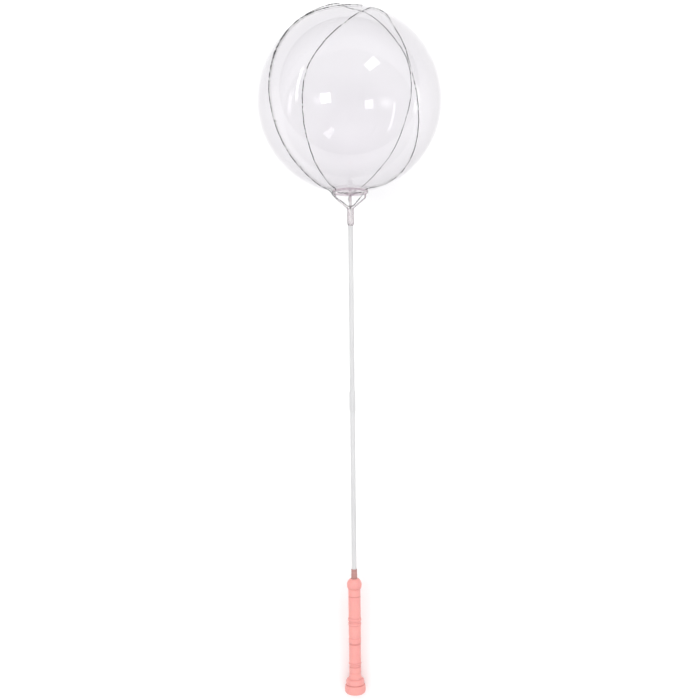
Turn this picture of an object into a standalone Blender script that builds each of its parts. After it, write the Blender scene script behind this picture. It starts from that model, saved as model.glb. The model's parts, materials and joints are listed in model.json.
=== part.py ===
"""A clear bubble balloon in a moulded cup on a two-section pole, with a ringed grip and a light string.

Every piece is drawn along one straight axis: +Z runs from the grip's end cap up to the top of the
bubble, and -Y is the front. The whole is then laid down on the floor, on the bubble and the end cap.
Stations are heights along that axis, from the end of the end cap. Units are metres.
"""

import math
from bisect import bisect_left

import bmesh
import bpy
from mathutils import Matrix, Vector
from mathutils.geometry import interpolate_bezier

MM = 0.001
FIT = 0.3 * MM  # gap left between pieces that touch
WELD = 0.01 * MM

# Bubble
BUBBLE_RADIUS = 184 * MM
BUBBLE_DEPTH = 180 * MM  # centre to lowest point, a little less than round
NECK_SHOULDER = 12 * MM  # where the film starts to gather
NECK_RADIUS = 2.2 * MM
NECK_LENGTH = 18 * MM
BUBBLE_SIDES = 40
BUBBLE_RINGS = 9  # rings in each half

# Pole
TUBE_RADIUS = 4.8 * MM
TUBE_WALL = 1.0 * MM
TUBE_LENGTH = 350 * MM
COUPLER_LENGTH = 40 * MM
COUPLER_WALL = 1.0 * MM
COUPLER_STOP = 1.4 * MM  # rib inside, between the two tube ends
COUPLER_LIP = 0.4 * MM

# Cup
RING_RADIUS = 36 * MM
RING_WALL = 2.6 * MM
RING_HEIGHT = 4.8 * MM
RING_LIP = 0.8 * MM
STEM_RADIUS = 6.7 * MM
STEM_LENGTH = 34 * MM
STEM_CONE = 5 * MM  # run from the tube's radius up to the stem's
STEM_BORE = 3.5 * MM
STEM_LIP = 0.6 * MM
CUP_DEPTH = 34 * MM  # stem mouth up to the middle of the ring
SPIGOT_LENGTH = 20 * MM
SPIGOT_WALL = 0.9 * MM
LEG_COUNT = 3
LEG_WIDTH = 5 * MM
LEG_THICKNESS = 1.8 * MM
LEG_DROP = 9 * MM  # straight run below the ring
LEG_ROOT = 5.4 * MM  # how far it runs down into the stem's wall
LEG_FIRST_ANGLE = math.radians(30)

# Light string
WIRE_RADIUS = 0.7 * MM
DROP_RADIUS = 1.5 * MM
DROP_LENGTH = 6 * MM
DROP_PITCH = 100 * MM
STRAND_GAP = 3.6 * MM  # between the two strands that climb side by side
SAG = 0.3 * MM  # room for the straight runs between the wire's points
WIRE_PITCH = 30 * MM
WIRE_PITCH_AT_CUP = 8 * MM
LEAD_ROOM = 1.2 * MM  # round the lead, where it runs through the grip's pieces
LEAD_SEAT = 5 * MM  # how deep the lead runs into the grip
LINE_STEPS = 8  # smooth steps between two points of the route

# Ferrule and collar
FERRULE_WALL = 0.9 * MM
FERRULE_LENGTH = 33 * MM
FERRULE_SHOWN = 19 * MM  # above the collar
FERRULE_STEP = 0.25 * MM
TUBE_SEAT = 16 * MM  # how deep the pole stands in the ferrule
COLLAR_OVERHANG = 2.6 * MM  # beyond the grip
COLLAR_RIM = 2.5 * MM  # round the ferrule's socket
COLLAR_HEIGHT = 21 * MM
COLLAR_SKIRT = 9 * MM  # height of its widest part
COLLAR_EDGE = 4 * MM  # height of the notched edge
COLLAR_EDGE_TAPER = 0.5 * MM
COLLAR_FOOT = 2.2 * MM  # height of the foot below the edge
COLLAR_FOOT_STEP = 0.8 * MM
COLLAR_NOTCHES = 16

# Grip
GRIP_LENGTH = 166 * MM
GRIP_RADIUS = 12.2 * MM
GRIP_TAPER = 0.4 * MM  # how much narrower it is below the step
GRIP_STEP = 74 * MM  # above the grip's lower end
GRIP_WALL = 4.2 * MM  # round its spigots
GRIP_SPIGOT = 6 * MM
RING_BANDS = (  # height above the grip's lower end, width and rise of each raised ring
    (18 * MM, 3.5 * MM, 0.9 * MM),
    (64 * MM, 10 * MM, 0.5 * MM),
    (97 * MM, 5 * MM, 0.7 * MM),
    (106 * MM, 6 * MM, 1.0 * MM),
)
GROOVES = (12 * MM, 57 * MM, 152 * MM)  # heights of the joint lines round the grip
GROOVE_WIDTH = 1.2 * MM
GROOVE_DEPTH = 0.5 * MM

# End cap, a stepped bell: neck, flare, tier and rim from the grip down
CAP_LENGTH = 42 * MM
CAP_NECK_STEP = 0.2 * MM  # in from the grip
CAP_NECK = 2 * MM
CAP_FLARE_HEIGHT = 29.5 * MM
CAP_FLARE_REACH = 3.8 * MM
CAP_TIER_HEIGHT = 24 * MM
CAP_TIER_FOOT = 19 * MM
CAP_TIER_REACH = 2.8 * MM
CAP_TIER_ROUNDING = 2 * MM
CAP_CREVICE = 0.5 * MM
CAP_RIM_HEIGHT = 12 * MM
CAP_RIM_FOOT = 7 * MM
CAP_RIM_REACH = 2.7 * MM
CAP_RIM_ROUNDING = 1.9 * MM
CAP_FOOT_ROUNDING = 7.4 * MM
CAP_NOTCHES = 12
NOTCH_SIZE = 1.6 * MM
NOTCH_DEPTH = 0.8 * MM
NOTCH_HEIGHT = 2.1 * MM

# Rest
BUBBLE_FLAT = 2.5 * MM
CAP_FLAT = 0.8 * MM

# Fineness
TURN_SIDES = 20
BROAD_SIDES = 24

# Radii that follow from the sizes above
TUBE_BORE = TUBE_RADIUS - TUBE_WALL
SOCKET_RADIUS = TUBE_RADIUS + FIT
FERRULE_RADIUS = SOCKET_RADIUS + FERRULE_WALL
RING_INNER = RING_RADIUS - RING_WALL
LEAD_HOLE = WIRE_RADIUS + LEAD_ROOM
GRIP_LOW_RADIUS = GRIP_RADIUS - GRIP_TAPER
GRIP_SPIGOT_RADIUS = GRIP_RADIUS - GRIP_WALL
COLLAR_RADIUS = GRIP_RADIUS + COLLAR_OVERHANG
COLLAR_FOOT_RADIUS = GRIP_RADIUS + COLLAR_FOOT_STEP
COLLAR_TOP_RADIUS = FERRULE_RADIUS + FIT + COLLAR_RIM
CAP_NECK_RADIUS = GRIP_LOW_RADIUS - CAP_NECK_STEP
CAP_FLARE_RADIUS = CAP_NECK_RADIUS + CAP_FLARE_REACH
CAP_TIER_RADIUS = CAP_FLARE_RADIUS + CAP_TIER_REACH
CAP_RADIUS = CAP_TIER_RADIUS + CAP_RIM_REACH
CAP_FOOT_RADIUS = CAP_RADIUS - CAP_FOOT_ROUNDING

# Stations
GRIP_BASE = CAP_LENGTH
COLLAR_BASE = GRIP_BASE + GRIP_LENGTH
COLLAR_TOP = COLLAR_BASE + COLLAR_HEIGHT
FERRULE_TOP = COLLAR_TOP + FERRULE_SHOWN
FERRULE_BASE = FERRULE_TOP - FERRULE_LENGTH
LOWER_TUBE_BASE = FERRULE_TOP - TUBE_SEAT
LOWER_TUBE_TOP = LOWER_TUBE_BASE + TUBE_LENGTH
JOINT = LOWER_TUBE_TOP + FIT + COUPLER_STOP / 2
UPPER_TUBE_BASE = JOINT + COUPLER_STOP / 2 + FIT
UPPER_TUBE_TOP = UPPER_TUBE_BASE + TUBE_LENGTH
STEM_BASE = UPPER_TUBE_TOP + FIT
STEM_MOUTH = STEM_BASE + STEM_LENGTH
RING_MIDDLE = STEM_MOUTH + CUP_DEPTH
RING_TOP = RING_MIDDLE + RING_HEIGHT / 2
SEAT_RISE = BUBBLE_DEPTH * math.sqrt(1 - (RING_INNER / BUBBLE_RADIUS) ** 2)
BUBBLE_CENTRE = RING_TOP + 2 * FIT + SEAT_RISE


def clear_scene():
    """Removes what a new file opens with."""
    for thing in list(bpy.data.objects):
        bpy.data.objects.remove(thing, do_unlink=True)


def new_collection(name):
    """Adds a collection to the scene."""
    collection = bpy.data.collections.new(name)
    bpy.context.scene.collection.children.link(collection)
    return collection


def new_material(name, colour, roughness, metallic=0.0, transmission=0.0):
    """Makes a plain Principled material."""
    material = bpy.data.materials.new(name)
    material.use_nodes = True
    shader = material.node_tree.nodes["Principled BSDF"]
    shader.inputs["Base Color"].default_value = (*colour, 1.0)
    shader.inputs["Roughness"].default_value = roughness
    shader.inputs["Metallic"].default_value = metallic
    shader.inputs["Transmission Weight"].default_value = transmission
    return material


def add_object(name, data, collection, parent=None, material=None):
    """Links an object for a mesh or a curve, under its parent."""
    thing = bpy.data.objects.new(name, data)
    collection.objects.link(thing)
    thing.parent = parent
    if material:
        data.materials.append(material)
    return thing


def turned(name, profile, sides, collection, parent=None, material=None, hollow=False):
    """Turns (radius, height) points, given down the outer side, round the Z axis.

    A hollow profile is a closed loop that stays off the axis; a solid one starts and ends on it.
    """
    mesh = bpy.data.meshes.new(name)
    points = [(radius, 0.0, height) for radius, height in profile]
    edges = [(i, i + 1) for i in range(len(points) - 1)]
    if hollow:
        edges.append((len(points) - 1, 0))
    mesh.from_pydata(points, edges, [])
    thing = add_object(name, mesh, collection, parent, material)
    screw = thing.modifiers.new("Turn", "SCREW")
    screw.axis = "Z"
    screw.angle = 2 * math.pi
    screw.steps = sides
    screw.render_steps = sides
    screw.use_merge_vertices = True
    screw.merge_threshold = WELD
    screw.use_smooth_shade = True
    return thing


def arc(centre, radii, start, end, count):
    """Points along an arc or an ellipse's quarter, angles in degrees from straight out."""
    steps = [math.radians(start + (end - start) * i / count) for i in range(count + 1)]
    return [
        (centre[0] + radii[0] * math.cos(a), centre[1] + radii[1] * math.sin(a)) for a in steps
    ]


def cut(thing, cutter, operation="DIFFERENCE"):
    """Adds a Boolean with a cutter that isn't shown."""
    boolean = thing.modifiers.new(cutter.name, "BOOLEAN")
    boolean.operation = operation
    boolean.object = cutter
    cutter.hide_render = True
    cutter.display_type = "WIRE"


def round_the_axis(mesh_data, name, count, first_angle, collection, parent):
    """Copies a mesh round the Z axis into one object, so that it cuts or joins at once."""
    shape = bmesh.new()
    for index in range(count):
        turn = Matrix.Rotation(first_angle + 2 * math.pi * index / count, 4, "Z")
        start = len(shape.verts)
        shape.from_mesh(mesh_data)
        shape.verts.ensure_lookup_table()
        bmesh.ops.transform(shape, matrix=turn, verts=shape.verts[start:])
    mesh = bpy.data.meshes.new(name)
    shape.to_mesh(mesh)
    shape.free()
    return add_object(name, mesh, collection, parent)


def box_mesh(name, size, centre):
    """A box as mesh data."""
    shape = bmesh.new()
    bmesh.ops.create_cube(shape, size=1.0)
    bmesh.ops.scale(shape, vec=size, verts=shape.verts)
    bmesh.ops.translate(shape, vec=centre, verts=shape.verts)
    mesh = bpy.data.meshes.new(name)
    shape.to_mesh(mesh)
    shape.free()
    return mesh


def build_bubble(collection, root):
    """The film bubble, closed by its gathered neck."""
    film = new_material("clear_film", (0.93, 0.92, 0.96), 0.02, transmission=1.0)
    gather = math.degrees(math.acos(NECK_SHOULDER / BUBBLE_RADIUS))
    bottom = -BUBBLE_DEPTH
    profile = arc((0, 0), (BUBBLE_RADIUS, BUBBLE_RADIUS), 90, 0, BUBBLE_RINGS)
    profile[0] = (0, BUBBLE_RADIUS)
    profile += arc((0, 0), (BUBBLE_RADIUS, BUBBLE_DEPTH), 0, -gather, BUBBLE_RINGS)[1:]
    profile += [
        (NECK_RADIUS * 2.4, bottom - NECK_LENGTH * 0.10),
        (NECK_RADIUS * 1.3, bottom - NECK_LENGTH * 0.28),
        (NECK_RADIUS, bottom - NECK_LENGTH * 0.50),
        (NECK_RADIUS * 1.2, bottom - NECK_LENGTH),
        (0, bottom - NECK_LENGTH),
    ]
    bubble = turned("bubble", profile, BUBBLE_SIDES, collection, root, film)
    bubble.location.z = BUBBLE_CENTRE
    return bubble


def build_tube(name, base, collection, root, material):
    """One section of the pole."""
    profile = [
        (TUBE_RADIUS, TUBE_LENGTH),
        (TUBE_RADIUS, 0),
        (TUBE_BORE, 0),
        (TUBE_BORE, TUBE_LENGTH),
    ]
    tube = turned(name, profile, TURN_SIDES, collection, root, material, hollow=True)
    tube.location.z = base
    return tube


def build_coupler(collection, root, material):
    """The sleeve over both tube ends, with a stop rib between them."""
    outer = SOCKET_RADIUS + COUPLER_WALL
    half = COUPLER_LENGTH / 2
    profile = [
        (outer - COUPLER_LIP, half),
        (outer, half - COUPLER_LIP),
        (outer, -half + COUPLER_LIP),
        (outer - COUPLER_LIP, -half),
        (SOCKET_RADIUS, -half),
        (SOCKET_RADIUS, -COUPLER_STOP / 2),
        (TUBE_BORE, -COUPLER_STOP / 2),
        (TUBE_BORE, COUPLER_STOP / 2),
        (SOCKET_RADIUS, COUPLER_STOP / 2),
        (SOCKET_RADIUS, half),
    ]
    coupler = turned("tube_coupler", profile, TURN_SIDES, collection, root, material, hollow=True)
    coupler.location.z = JOINT
    return coupler


def leg_mesh(name):
    """One leg of the cup: a flat bent strip in the XZ plane, from the stem out to the ring."""
    middle = RING_RADIUS - RING_WALL / 2
    half = LEG_THICKNESS / 2
    foot = STEM_BORE + (STEM_RADIUS - STEM_BORE) / 2
    line = [
        Vector((foot, -LEG_ROOT)),
        Vector((foot + half, LEG_THICKNESS)),
        Vector((middle - half, CUP_DEPTH - LEG_DROP - half)),
        Vector((middle, CUP_DEPTH - LEG_DROP + half)),
        Vector((middle, CUP_DEPTH)),
    ]
    outline = []
    for side in (1, -1):
        edge = []
        for i, point in enumerate(line):
            before = line[max(i - 1, 0)]
            after = line[min(i + 1, len(line) - 1)]
            along = (after - before).normalized()
            edge.append(point + side * half * Vector((along.y, -along.x)))
        outline += edge if side == 1 else edge[::-1]
    curve = bpy.data.curves.new(name, "CURVE")
    curve.dimensions = "2D"
    curve.fill_mode = "BOTH"
    curve.extrude = LEG_WIDTH / 2
    spline = curve.splines.new("POLY")
    spline.points.add(len(outline) - 1)
    for point, place in zip(spline.points, outline):
        point.co = (place.x, place.y, 0, 1)
    spline.use_cyclic_u = True
    guide = bpy.data.objects.new(name, curve)
    bpy.context.scene.collection.objects.link(guide)
    bpy.context.view_layer.update()
    mesh = bpy.data.meshes.new_from_object(guide.evaluated_get(bpy.context.evaluated_depsgraph_get()))
    bpy.data.objects.remove(guide, do_unlink=True)
    shape = bmesh.new()
    shape.from_mesh(mesh)
    bmesh.ops.remove_doubles(shape, verts=shape.verts, dist=WELD)
    upright = Matrix.Rotation(math.pi / 2, 4, "X")
    bmesh.ops.transform(shape, matrix=upright, verts=shape.verts)
    bmesh.ops.recalc_face_normals(shape, faces=shape.faces)
    shape.to_mesh(mesh)
    shape.free()
    return mesh


def build_cup(collection, cutters, root):
    """The moulded cup: a stem with its spigot, three legs and the ring, all one piece."""
    clear = new_material("clear_plastic", (0.90, 0.86, 0.88), 0.06, transmission=0.9)
    spigot = TUBE_BORE - FIT
    bore = spigot - SPIGOT_WALL
    stem = [
        (STEM_RADIUS - STEM_LIP, 0),
        (STEM_RADIUS, -STEM_LIP),
        (STEM_RADIUS, -STEM_LENGTH + STEM_CONE),
        (TUBE_RADIUS, -STEM_LENGTH),
        (spigot, -STEM_LENGTH),
        (spigot, -STEM_LENGTH - SPIGOT_LENGTH),
        (bore, -STEM_LENGTH - SPIGOT_LENGTH),
        (bore, -STEM_LENGTH),
        (STEM_BORE, -STEM_LENGTH + STEM_CONE),
        (STEM_BORE, 0),
    ]
    cup = turned("balloon_cup", stem, TURN_SIDES, collection, root, clear, hollow=True)
    cup.location.z = STEM_MOUTH
    top = CUP_DEPTH + RING_HEIGHT / 2
    low = CUP_DEPTH - RING_HEIGHT / 2
    ring = [
        (RING_RADIUS - RING_LIP, top),
        (RING_RADIUS, top - RING_LIP),
        (RING_RADIUS, low + RING_LIP),
        (RING_RADIUS - RING_LIP, low),
        (RING_INNER + RING_LIP, low),
        (RING_INNER, low + RING_LIP),
        (RING_INNER, top - RING_LIP),
        (RING_INNER + RING_LIP, top),
    ]
    rim = turned("cup_ring", ring, BROAD_SIDES, cutters, cup, hollow=True)
    legs = round_the_axis(leg_mesh("leg"), "cup_legs", LEG_COUNT, LEG_FIRST_ANGLE, cutters, cup)
    cut(cup, legs, "UNION")
    cut(cup, rim, "UNION")
    return cup


def build_ferrule(collection, root):
    """The sleeve that holds the foot of the pole, let into the collar."""
    brown = new_material("dusty_pink_plastic", (0.55, 0.32, 0.30), 0.45)
    seat = FERRULE_LENGTH - TUBE_SEAT - FIT
    middle = FERRULE_LENGTH - FERRULE_SHOWN / 2
    profile = [
        (FERRULE_RADIUS - FERRULE_STEP, FERRULE_LENGTH),
        (FERRULE_RADIUS - FERRULE_STEP, middle + FERRULE_STEP),
        (FERRULE_RADIUS, middle - FERRULE_STEP),
        (FERRULE_RADIUS, 0),
        (LEAD_HOLE, 0),
        (LEAD_HOLE, seat),
        (SOCKET_RADIUS, seat),
        (SOCKET_RADIUS, FERRULE_LENGTH),
    ]
    ferrule = turned("tube_ferrule", profile, TURN_SIDES, collection, root, brown, hollow=True)
    ferrule.location.z = FERRULE_BASE
    return ferrule


def notches(name, count, radius, height, cutters, parent):
    """Small square cutters round an edge, that bite inward from a radius."""
    reach = 2 * NOTCH_DEPTH
    size = (reach, NOTCH_SIZE, NOTCH_SIZE)
    one = box_mesh(name, size, (radius - NOTCH_DEPTH + reach / 2, 0, height))
    return round_the_axis(one, name, count, math.pi / 2 / count, cutters, parent)


def build_collar(collection, cutters, root, material):
    """The domed collar over the top of the grip, with a notched lower edge."""
    socket = FERRULE_RADIUS + FIT
    floor = FERRULE_BASE - COLLAR_BASE - FIT
    recess = GRIP_SPIGOT_RADIUS + FIT
    recess_top = GRIP_SPIGOT + FIT
    rise = COLLAR_HEIGHT - COLLAR_SKIRT
    sweep = math.degrees(math.acos(COLLAR_TOP_RADIUS / COLLAR_RADIUS))
    dome_height = rise / math.sin(math.radians(sweep))
    profile = arc((0, COLLAR_SKIRT), (COLLAR_RADIUS, dome_height), sweep, 0, 5)
    profile += [
        (COLLAR_RADIUS - COLLAR_EDGE_TAPER, COLLAR_EDGE),
        (COLLAR_FOOT_RADIUS, COLLAR_FOOT),
        (COLLAR_FOOT_RADIUS, FIT),
        (recess, FIT),
        (recess, recess_top),
        (LEAD_HOLE, recess_top),
        (LEAD_HOLE, floor),
        (socket, floor),
        (socket, COLLAR_HEIGHT),
    ]
    collar = turned("grip_collar", profile, BROAD_SIDES, collection, root, material, hollow=True)
    collar.location.z = COLLAR_BASE
    edge = COLLAR_RADIUS - COLLAR_EDGE_TAPER
    bites = notches("collar_notches", COLLAR_NOTCHES, edge, COLLAR_EDGE, cutters, collar)
    cut(collar, bites)
    return collar


def grip_marks():
    """Profile points of the grip's rings, joint lines and step, from the top down."""
    marks = [(GRIP_STEP, [(GRIP_RADIUS, GRIP_STEP), (GRIP_LOW_RADIUS, GRIP_STEP - GROOVE_WIDTH)])]
    for height, width, rise in RING_BANDS:
        plain = GRIP_RADIUS if height > GRIP_STEP else GRIP_LOW_RADIUS
        high = height + width / 2
        low = height - width / 2
        slope = min(rise, width / 4)
        ring = [(plain, high), (plain + rise, high - slope), (plain + rise, low + slope), (plain, low)]
        marks.append((height, ring))
    for height in GROOVES:
        plain = GRIP_RADIUS if height > GRIP_STEP else GRIP_LOW_RADIUS
        half = GROOVE_WIDTH / 2
        groove = [(plain, height + half), (plain - GROOVE_DEPTH, height), (plain, height - half)]
        marks.append((height, groove))
    marks.sort(key=lambda mark: mark[0], reverse=True)
    return [point for _, points in marks for point in points]


def build_grip(collection, root, material):
    """The long grip, with raised rings and joint lines, and a spigot at each end."""
    top = GRIP_LENGTH + GRIP_SPIGOT
    profile = [
        (0, top - LEAD_SEAT - FIT),
        (LEAD_HOLE, top - LEAD_SEAT - FIT),
        (LEAD_HOLE, top),
        (GRIP_SPIGOT_RADIUS, top),
        (GRIP_SPIGOT_RADIUS, GRIP_LENGTH),
        (GRIP_RADIUS, GRIP_LENGTH),
    ]
    profile += grip_marks()
    profile += [
        (GRIP_LOW_RADIUS, 0),
        (GRIP_SPIGOT_RADIUS, 0),
        (GRIP_SPIGOT_RADIUS, -GRIP_SPIGOT),
        (0, -GRIP_SPIGOT),
    ]
    grip = turned("grip", profile, TURN_SIDES, collection, root, material)
    grip.location.z = GRIP_BASE
    return grip


def build_end_cap(collection, cutters, root, material):
    """The stepped bell at the end of the grip."""
    top = CAP_LENGTH - FIT
    recess = GRIP_SPIGOT_RADIUS + FIT
    floor = CAP_LENGTH - GRIP_SPIGOT - FIT
    profile = [(0, floor), (recess, floor), (recess, top), (CAP_NECK_RADIUS, top)]
    sweep = top - CAP_NECK - CAP_FLARE_HEIGHT
    flare = (CAP_FLARE_RADIUS, top - CAP_NECK)
    profile += arc(flare, (CAP_FLARE_REACH, sweep), 180, 270, 4)
    tier = (CAP_TIER_RADIUS - CAP_TIER_ROUNDING, CAP_TIER_HEIGHT)
    rise = CAP_FLARE_HEIGHT - CAP_TIER_HEIGHT
    profile += arc(tier, (CAP_TIER_ROUNDING, rise), 60, 0, 2)
    profile += [
        (CAP_TIER_RADIUS, CAP_TIER_FOOT),
        (CAP_TIER_RADIUS - CAP_CREVICE, CAP_TIER_FOOT - CAP_CREVICE),
    ]
    rim = (CAP_RADIUS - CAP_RIM_ROUNDING, CAP_RIM_HEIGHT)
    rise = CAP_TIER_FOOT - CAP_CREVICE - CAP_RIM_HEIGHT
    profile += arc(rim, (CAP_RIM_ROUNDING, rise), 60, 0, 2)
    profile += arc((CAP_FOOT_RADIUS, CAP_RIM_FOOT), (CAP_FOOT_ROUNDING, CAP_RIM_FOOT), 0, -90, 4)
    profile += [(0, 0)]
    cap = turned("grip_end_cap", profile, BROAD_SIDES, collection, root, material)
    below = 1 - NOTCH_HEIGHT / CAP_RIM_FOOT
    edge = CAP_FOOT_RADIUS + CAP_FOOT_ROUNDING * math.sqrt(1 - below**2)
    bites = notches("cap_notches", CAP_NOTCHES, edge, NOTCH_HEIGHT, cutters, cap)
    cut(cap, bites)
    return cap


def on_bubble(longitude, latitude):
    """A point of the string's route over the film. Longitude 0 is +X and -90 is the front."""
    lon = math.radians(longitude)
    lat = math.radians(latitude)
    out = BUBBLE_RADIUS * math.cos(lat)
    depth = BUBBLE_RADIUS if latitude > 0 else BUBBLE_DEPTH
    height = BUBBLE_CENTRE + depth * math.sin(lat)
    return Vector((out * math.cos(lon), out * math.sin(lon), height))


def at_cup(azimuth, out, up):
    """A point beside the cup: how far out from the axis, and how far up from the stem's mouth."""
    angle = math.radians(azimuth)
    return Vector((out * math.cos(angle), out * math.sin(angle), STEM_MOUTH + up))


def string_route():
    """The route of the light string, from the stem's mouth to its free end, point by point.

    It leaves the stem at the back and goes up the back of the bubble, over the top, down the left
    side of the front, under the cup and up the right side. It crosses below the top to the middle
    of the front, comes down to the cup, turns there and climbs the left side again to its end.
    """
    beside = RING_RADIUS + 2 * DROP_RADIUS
    ring = CUP_DEPTH
    second = math.degrees(STRAND_GAP / BUBBLE_RADIUS)
    climb_back = [
        at_cup(95, 0, -6 * MM),
        at_cup(95, 2.5 * MM, 2.5 * MM),
        at_cup(95, 13 * MM, 12 * MM),
        at_cup(95, beside - 4 * MM, ring - 9 * MM),
        at_cup(93, beside, ring - 1 * MM),
        on_bubble(90, -70),
        on_bubble(79, -56),
        on_bubble(66, -36),
        on_bubble(58, -22),
        on_bubble(51, -2),
        on_bubble(43, 18),
        on_bubble(36, 38),
        on_bubble(34, 60),
        on_bubble(29, 78),
        on_bubble(-178, 88.5),
        on_bubble(-112, 70),
        on_bubble(-127, 58),
    ]
    left = [(-138, 45), (-142, 31), (-143, 14), (-144, -4), (-144, -21), (-144, -40), (-147, -57)]
    down_left = [on_bubble(lon - second / math.cos(math.radians(lat)), lat) for lon, lat in left]
    down_left += [
        on_bubble(-162, -71),
        at_cup(186, beside, ring),
        at_cup(188, beside - 4.5 * MM, ring - 8 * MM),
        at_cup(203, 22 * MM, 16 * MM),
        at_cup(212, 7 * MM, 5.5 * MM),
        at_cup(270, 2.6 * MM, 4 * MM),
        at_cup(328, 7 * MM, 6 * MM),
    ]
    up_right = [
        at_cup(322, 24 * MM, 19 * MM),
        at_cup(317, beside - 4 * MM, ring - 8 * MM),
        at_cup(322, beside, ring),
        on_bubble(-22, -74),
        on_bubble(-13, -65),
        on_bubble(-24, -50),
        on_bubble(-38, -28),
        on_bubble(-46, -10),
        on_bubble(-52, 6),
        on_bubble(-55, 22),
        on_bubble(-57, 36),
        on_bubble(-55, 49),
        on_bubble(-62, 54),
    ]
    down_middle = [
        on_bubble(-76, 48),
        on_bubble(-92, 35),
        on_bubble(-105, 20),
        on_bubble(-115, 2),
        on_bubble(-120, -20),
        on_bubble(-122, -42),
        on_bubble(-126, -60),
        on_bubble(-134, -72),
        at_cup(222, beside, ring + 1 * MM),
        at_cup(219, beside - 0.5 * MM, ring - 6 * MM),
        at_cup(211, beside - 1 * MM, ring - 9 * MM),
        at_cup(203, beside - 0.5 * MM, ring - 6 * MM),
        at_cup(201, beside, ring + 1 * MM),
        on_bubble(-154, -71),
    ]
    up_left = [on_bubble(lon, lat) for lon, lat in reversed(left)]
    up_left += [on_bubble(-126, 52), on_bubble(-110, 55), on_bubble(-92, 57), on_bubble(-74, 57)]
    return climb_back + down_left + up_right + down_middle + up_left


def smooth_line(points):
    """Reads a smooth curve through the route's points."""
    ahead = points[1:] + points[-1:]
    behind = points[:1] + points[:-1]
    heading = [(after - before).normalized() for before, after in zip(behind, ahead)]
    line = []
    for index, (start, end) in enumerate(zip(points, points[1:])):
        reach = (end - start).length / 3
        leaving = start + reach * heading[index]
        arriving = end - reach * heading[index + 1]
        line += interpolate_bezier(start, leaving, arriving, end, LINE_STEPS + 1)[:-1]
    return line + points[-1:]


def off_the_film(point):
    """Pushes a point of the wire out, so that its drops just clear the film."""
    away = DROP_RADIUS + FIT + SAG
    centre = Vector((0, 0, BUBBLE_CENTRE))
    reach = point - centre
    depth = BUBBLE_RADIUS if reach.z > 0 else BUBBLE_DEPTH
    across = math.hypot(reach.x, reach.y) / (BUBBLE_RADIUS + away)
    share = math.hypot(across, reach.z / (depth + away))
    return centre + reach / share if share < 1 else point


def wire_points(line):
    """Thins the line out to (point, width) pairs, with a short swelling for each drop."""
    lengths = [0.0]
    for start, end in zip(line, line[1:]):
        lengths.append(lengths[-1] + (end - start).length)

    def place(at):
        index = min(max(bisect_left(lengths, at) - 1, 0), len(line) - 2)
        share = (at - lengths[index]) / (lengths[index + 1] - lengths[index])
        return line[index].lerp(line[index + 1], share)

    drops = []
    at = DROP_PITCH / 2
    while at < lengths[-1] - DROP_LENGTH:
        drops.append(at)
        at += DROP_PITCH
    stops = [(at, DROP_RADIUS / WIRE_RADIUS) for at in drops]
    stops += [(at + step, 1.0) for at in drops for step in (-DROP_LENGTH / 2, DROP_LENGTH / 2)]
    at = 0.0
    while at < lengths[-1] - DROP_LENGTH:
        if all(abs(at - drop) > DROP_LENGTH for drop in drops):
            stops.append((at, 1.0))
        at += WIRE_PITCH_AT_CUP if place(at).z < RING_TOP + RING_HEIGHT else WIRE_PITCH
    stops.append((lengths[-1], 1.0))
    return [(place(at), width) for at, width in sorted(stops)]


def build_string(collection, root):
    """The light string: one wire from the grip, through the pole and round the bubble."""
    dark = new_material("dark_wire", (0.06, 0.06, 0.065), 0.4)
    seat = Vector((0, 0, COLLAR_BASE + GRIP_SPIGOT - LEAD_SEAT))
    line = smooth_line([seat] + string_route())
    outside = [off_the_film(point) for point in line[LINE_STEPS:]]
    points = [(seat, 1.0)] + wire_points(outside)
    curve = bpy.data.curves.new("light_string", "CURVE")
    curve.dimensions = "3D"
    curve.bevel_depth = WIRE_RADIUS
    curve.bevel_resolution = 2
    curve.use_fill_caps = True
    spline = curve.splines.new("POLY")
    spline.points.add(len(points) - 1)
    for point, (place, width) in zip(spline.points, points):
        point.co = (*place, 1)
        point.radius = width
    return add_object("light_string", curve, collection, root, dark)


def lay_down(root):
    """Turns the axis down until the bubble and the end cap sink into the floor by their flats."""
    apart = BUBBLE_CENTRE - CAP_RIM_FOOT
    lift = BUBBLE_RADIUS - BUBBLE_FLAT + CAP_FLAT
    slope = math.asin(lift / math.hypot(apart, CAP_RADIUS)) - math.atan2(CAP_RADIUS, apart)
    root.rotation_euler.x = slope - math.pi / 2
    root.location.z = BUBBLE_RADIUS - BUBBLE_FLAT - BUBBLE_CENTRE * math.sin(slope)


def centre_lengthways(root, pieces):
    """Slides the whole along Y until its length is centred on the origin."""
    graph = bpy.context.evaluated_depsgraph_get()
    reach = []
    for piece in pieces:
        shown = piece.evaluated_get(graph)
        mesh = shown.to_mesh()
        reach += [(shown.matrix_world @ vertex.co).y for vertex in mesh.vertices]
        shown.to_mesh_clear()
    root.location.y -= (min(reach) + max(reach)) / 2


def floor_cutter(cutters):
    """A block under the floor, which cuts the flats that the balloon rests on."""
    half = 2 * (BUBBLE_CENTRE + BUBBLE_RADIUS)
    mesh = box_mesh("floor", (half, half, half / 4), (0, 0, -half / 8))
    return add_object("floor", mesh, cutters)


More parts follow.
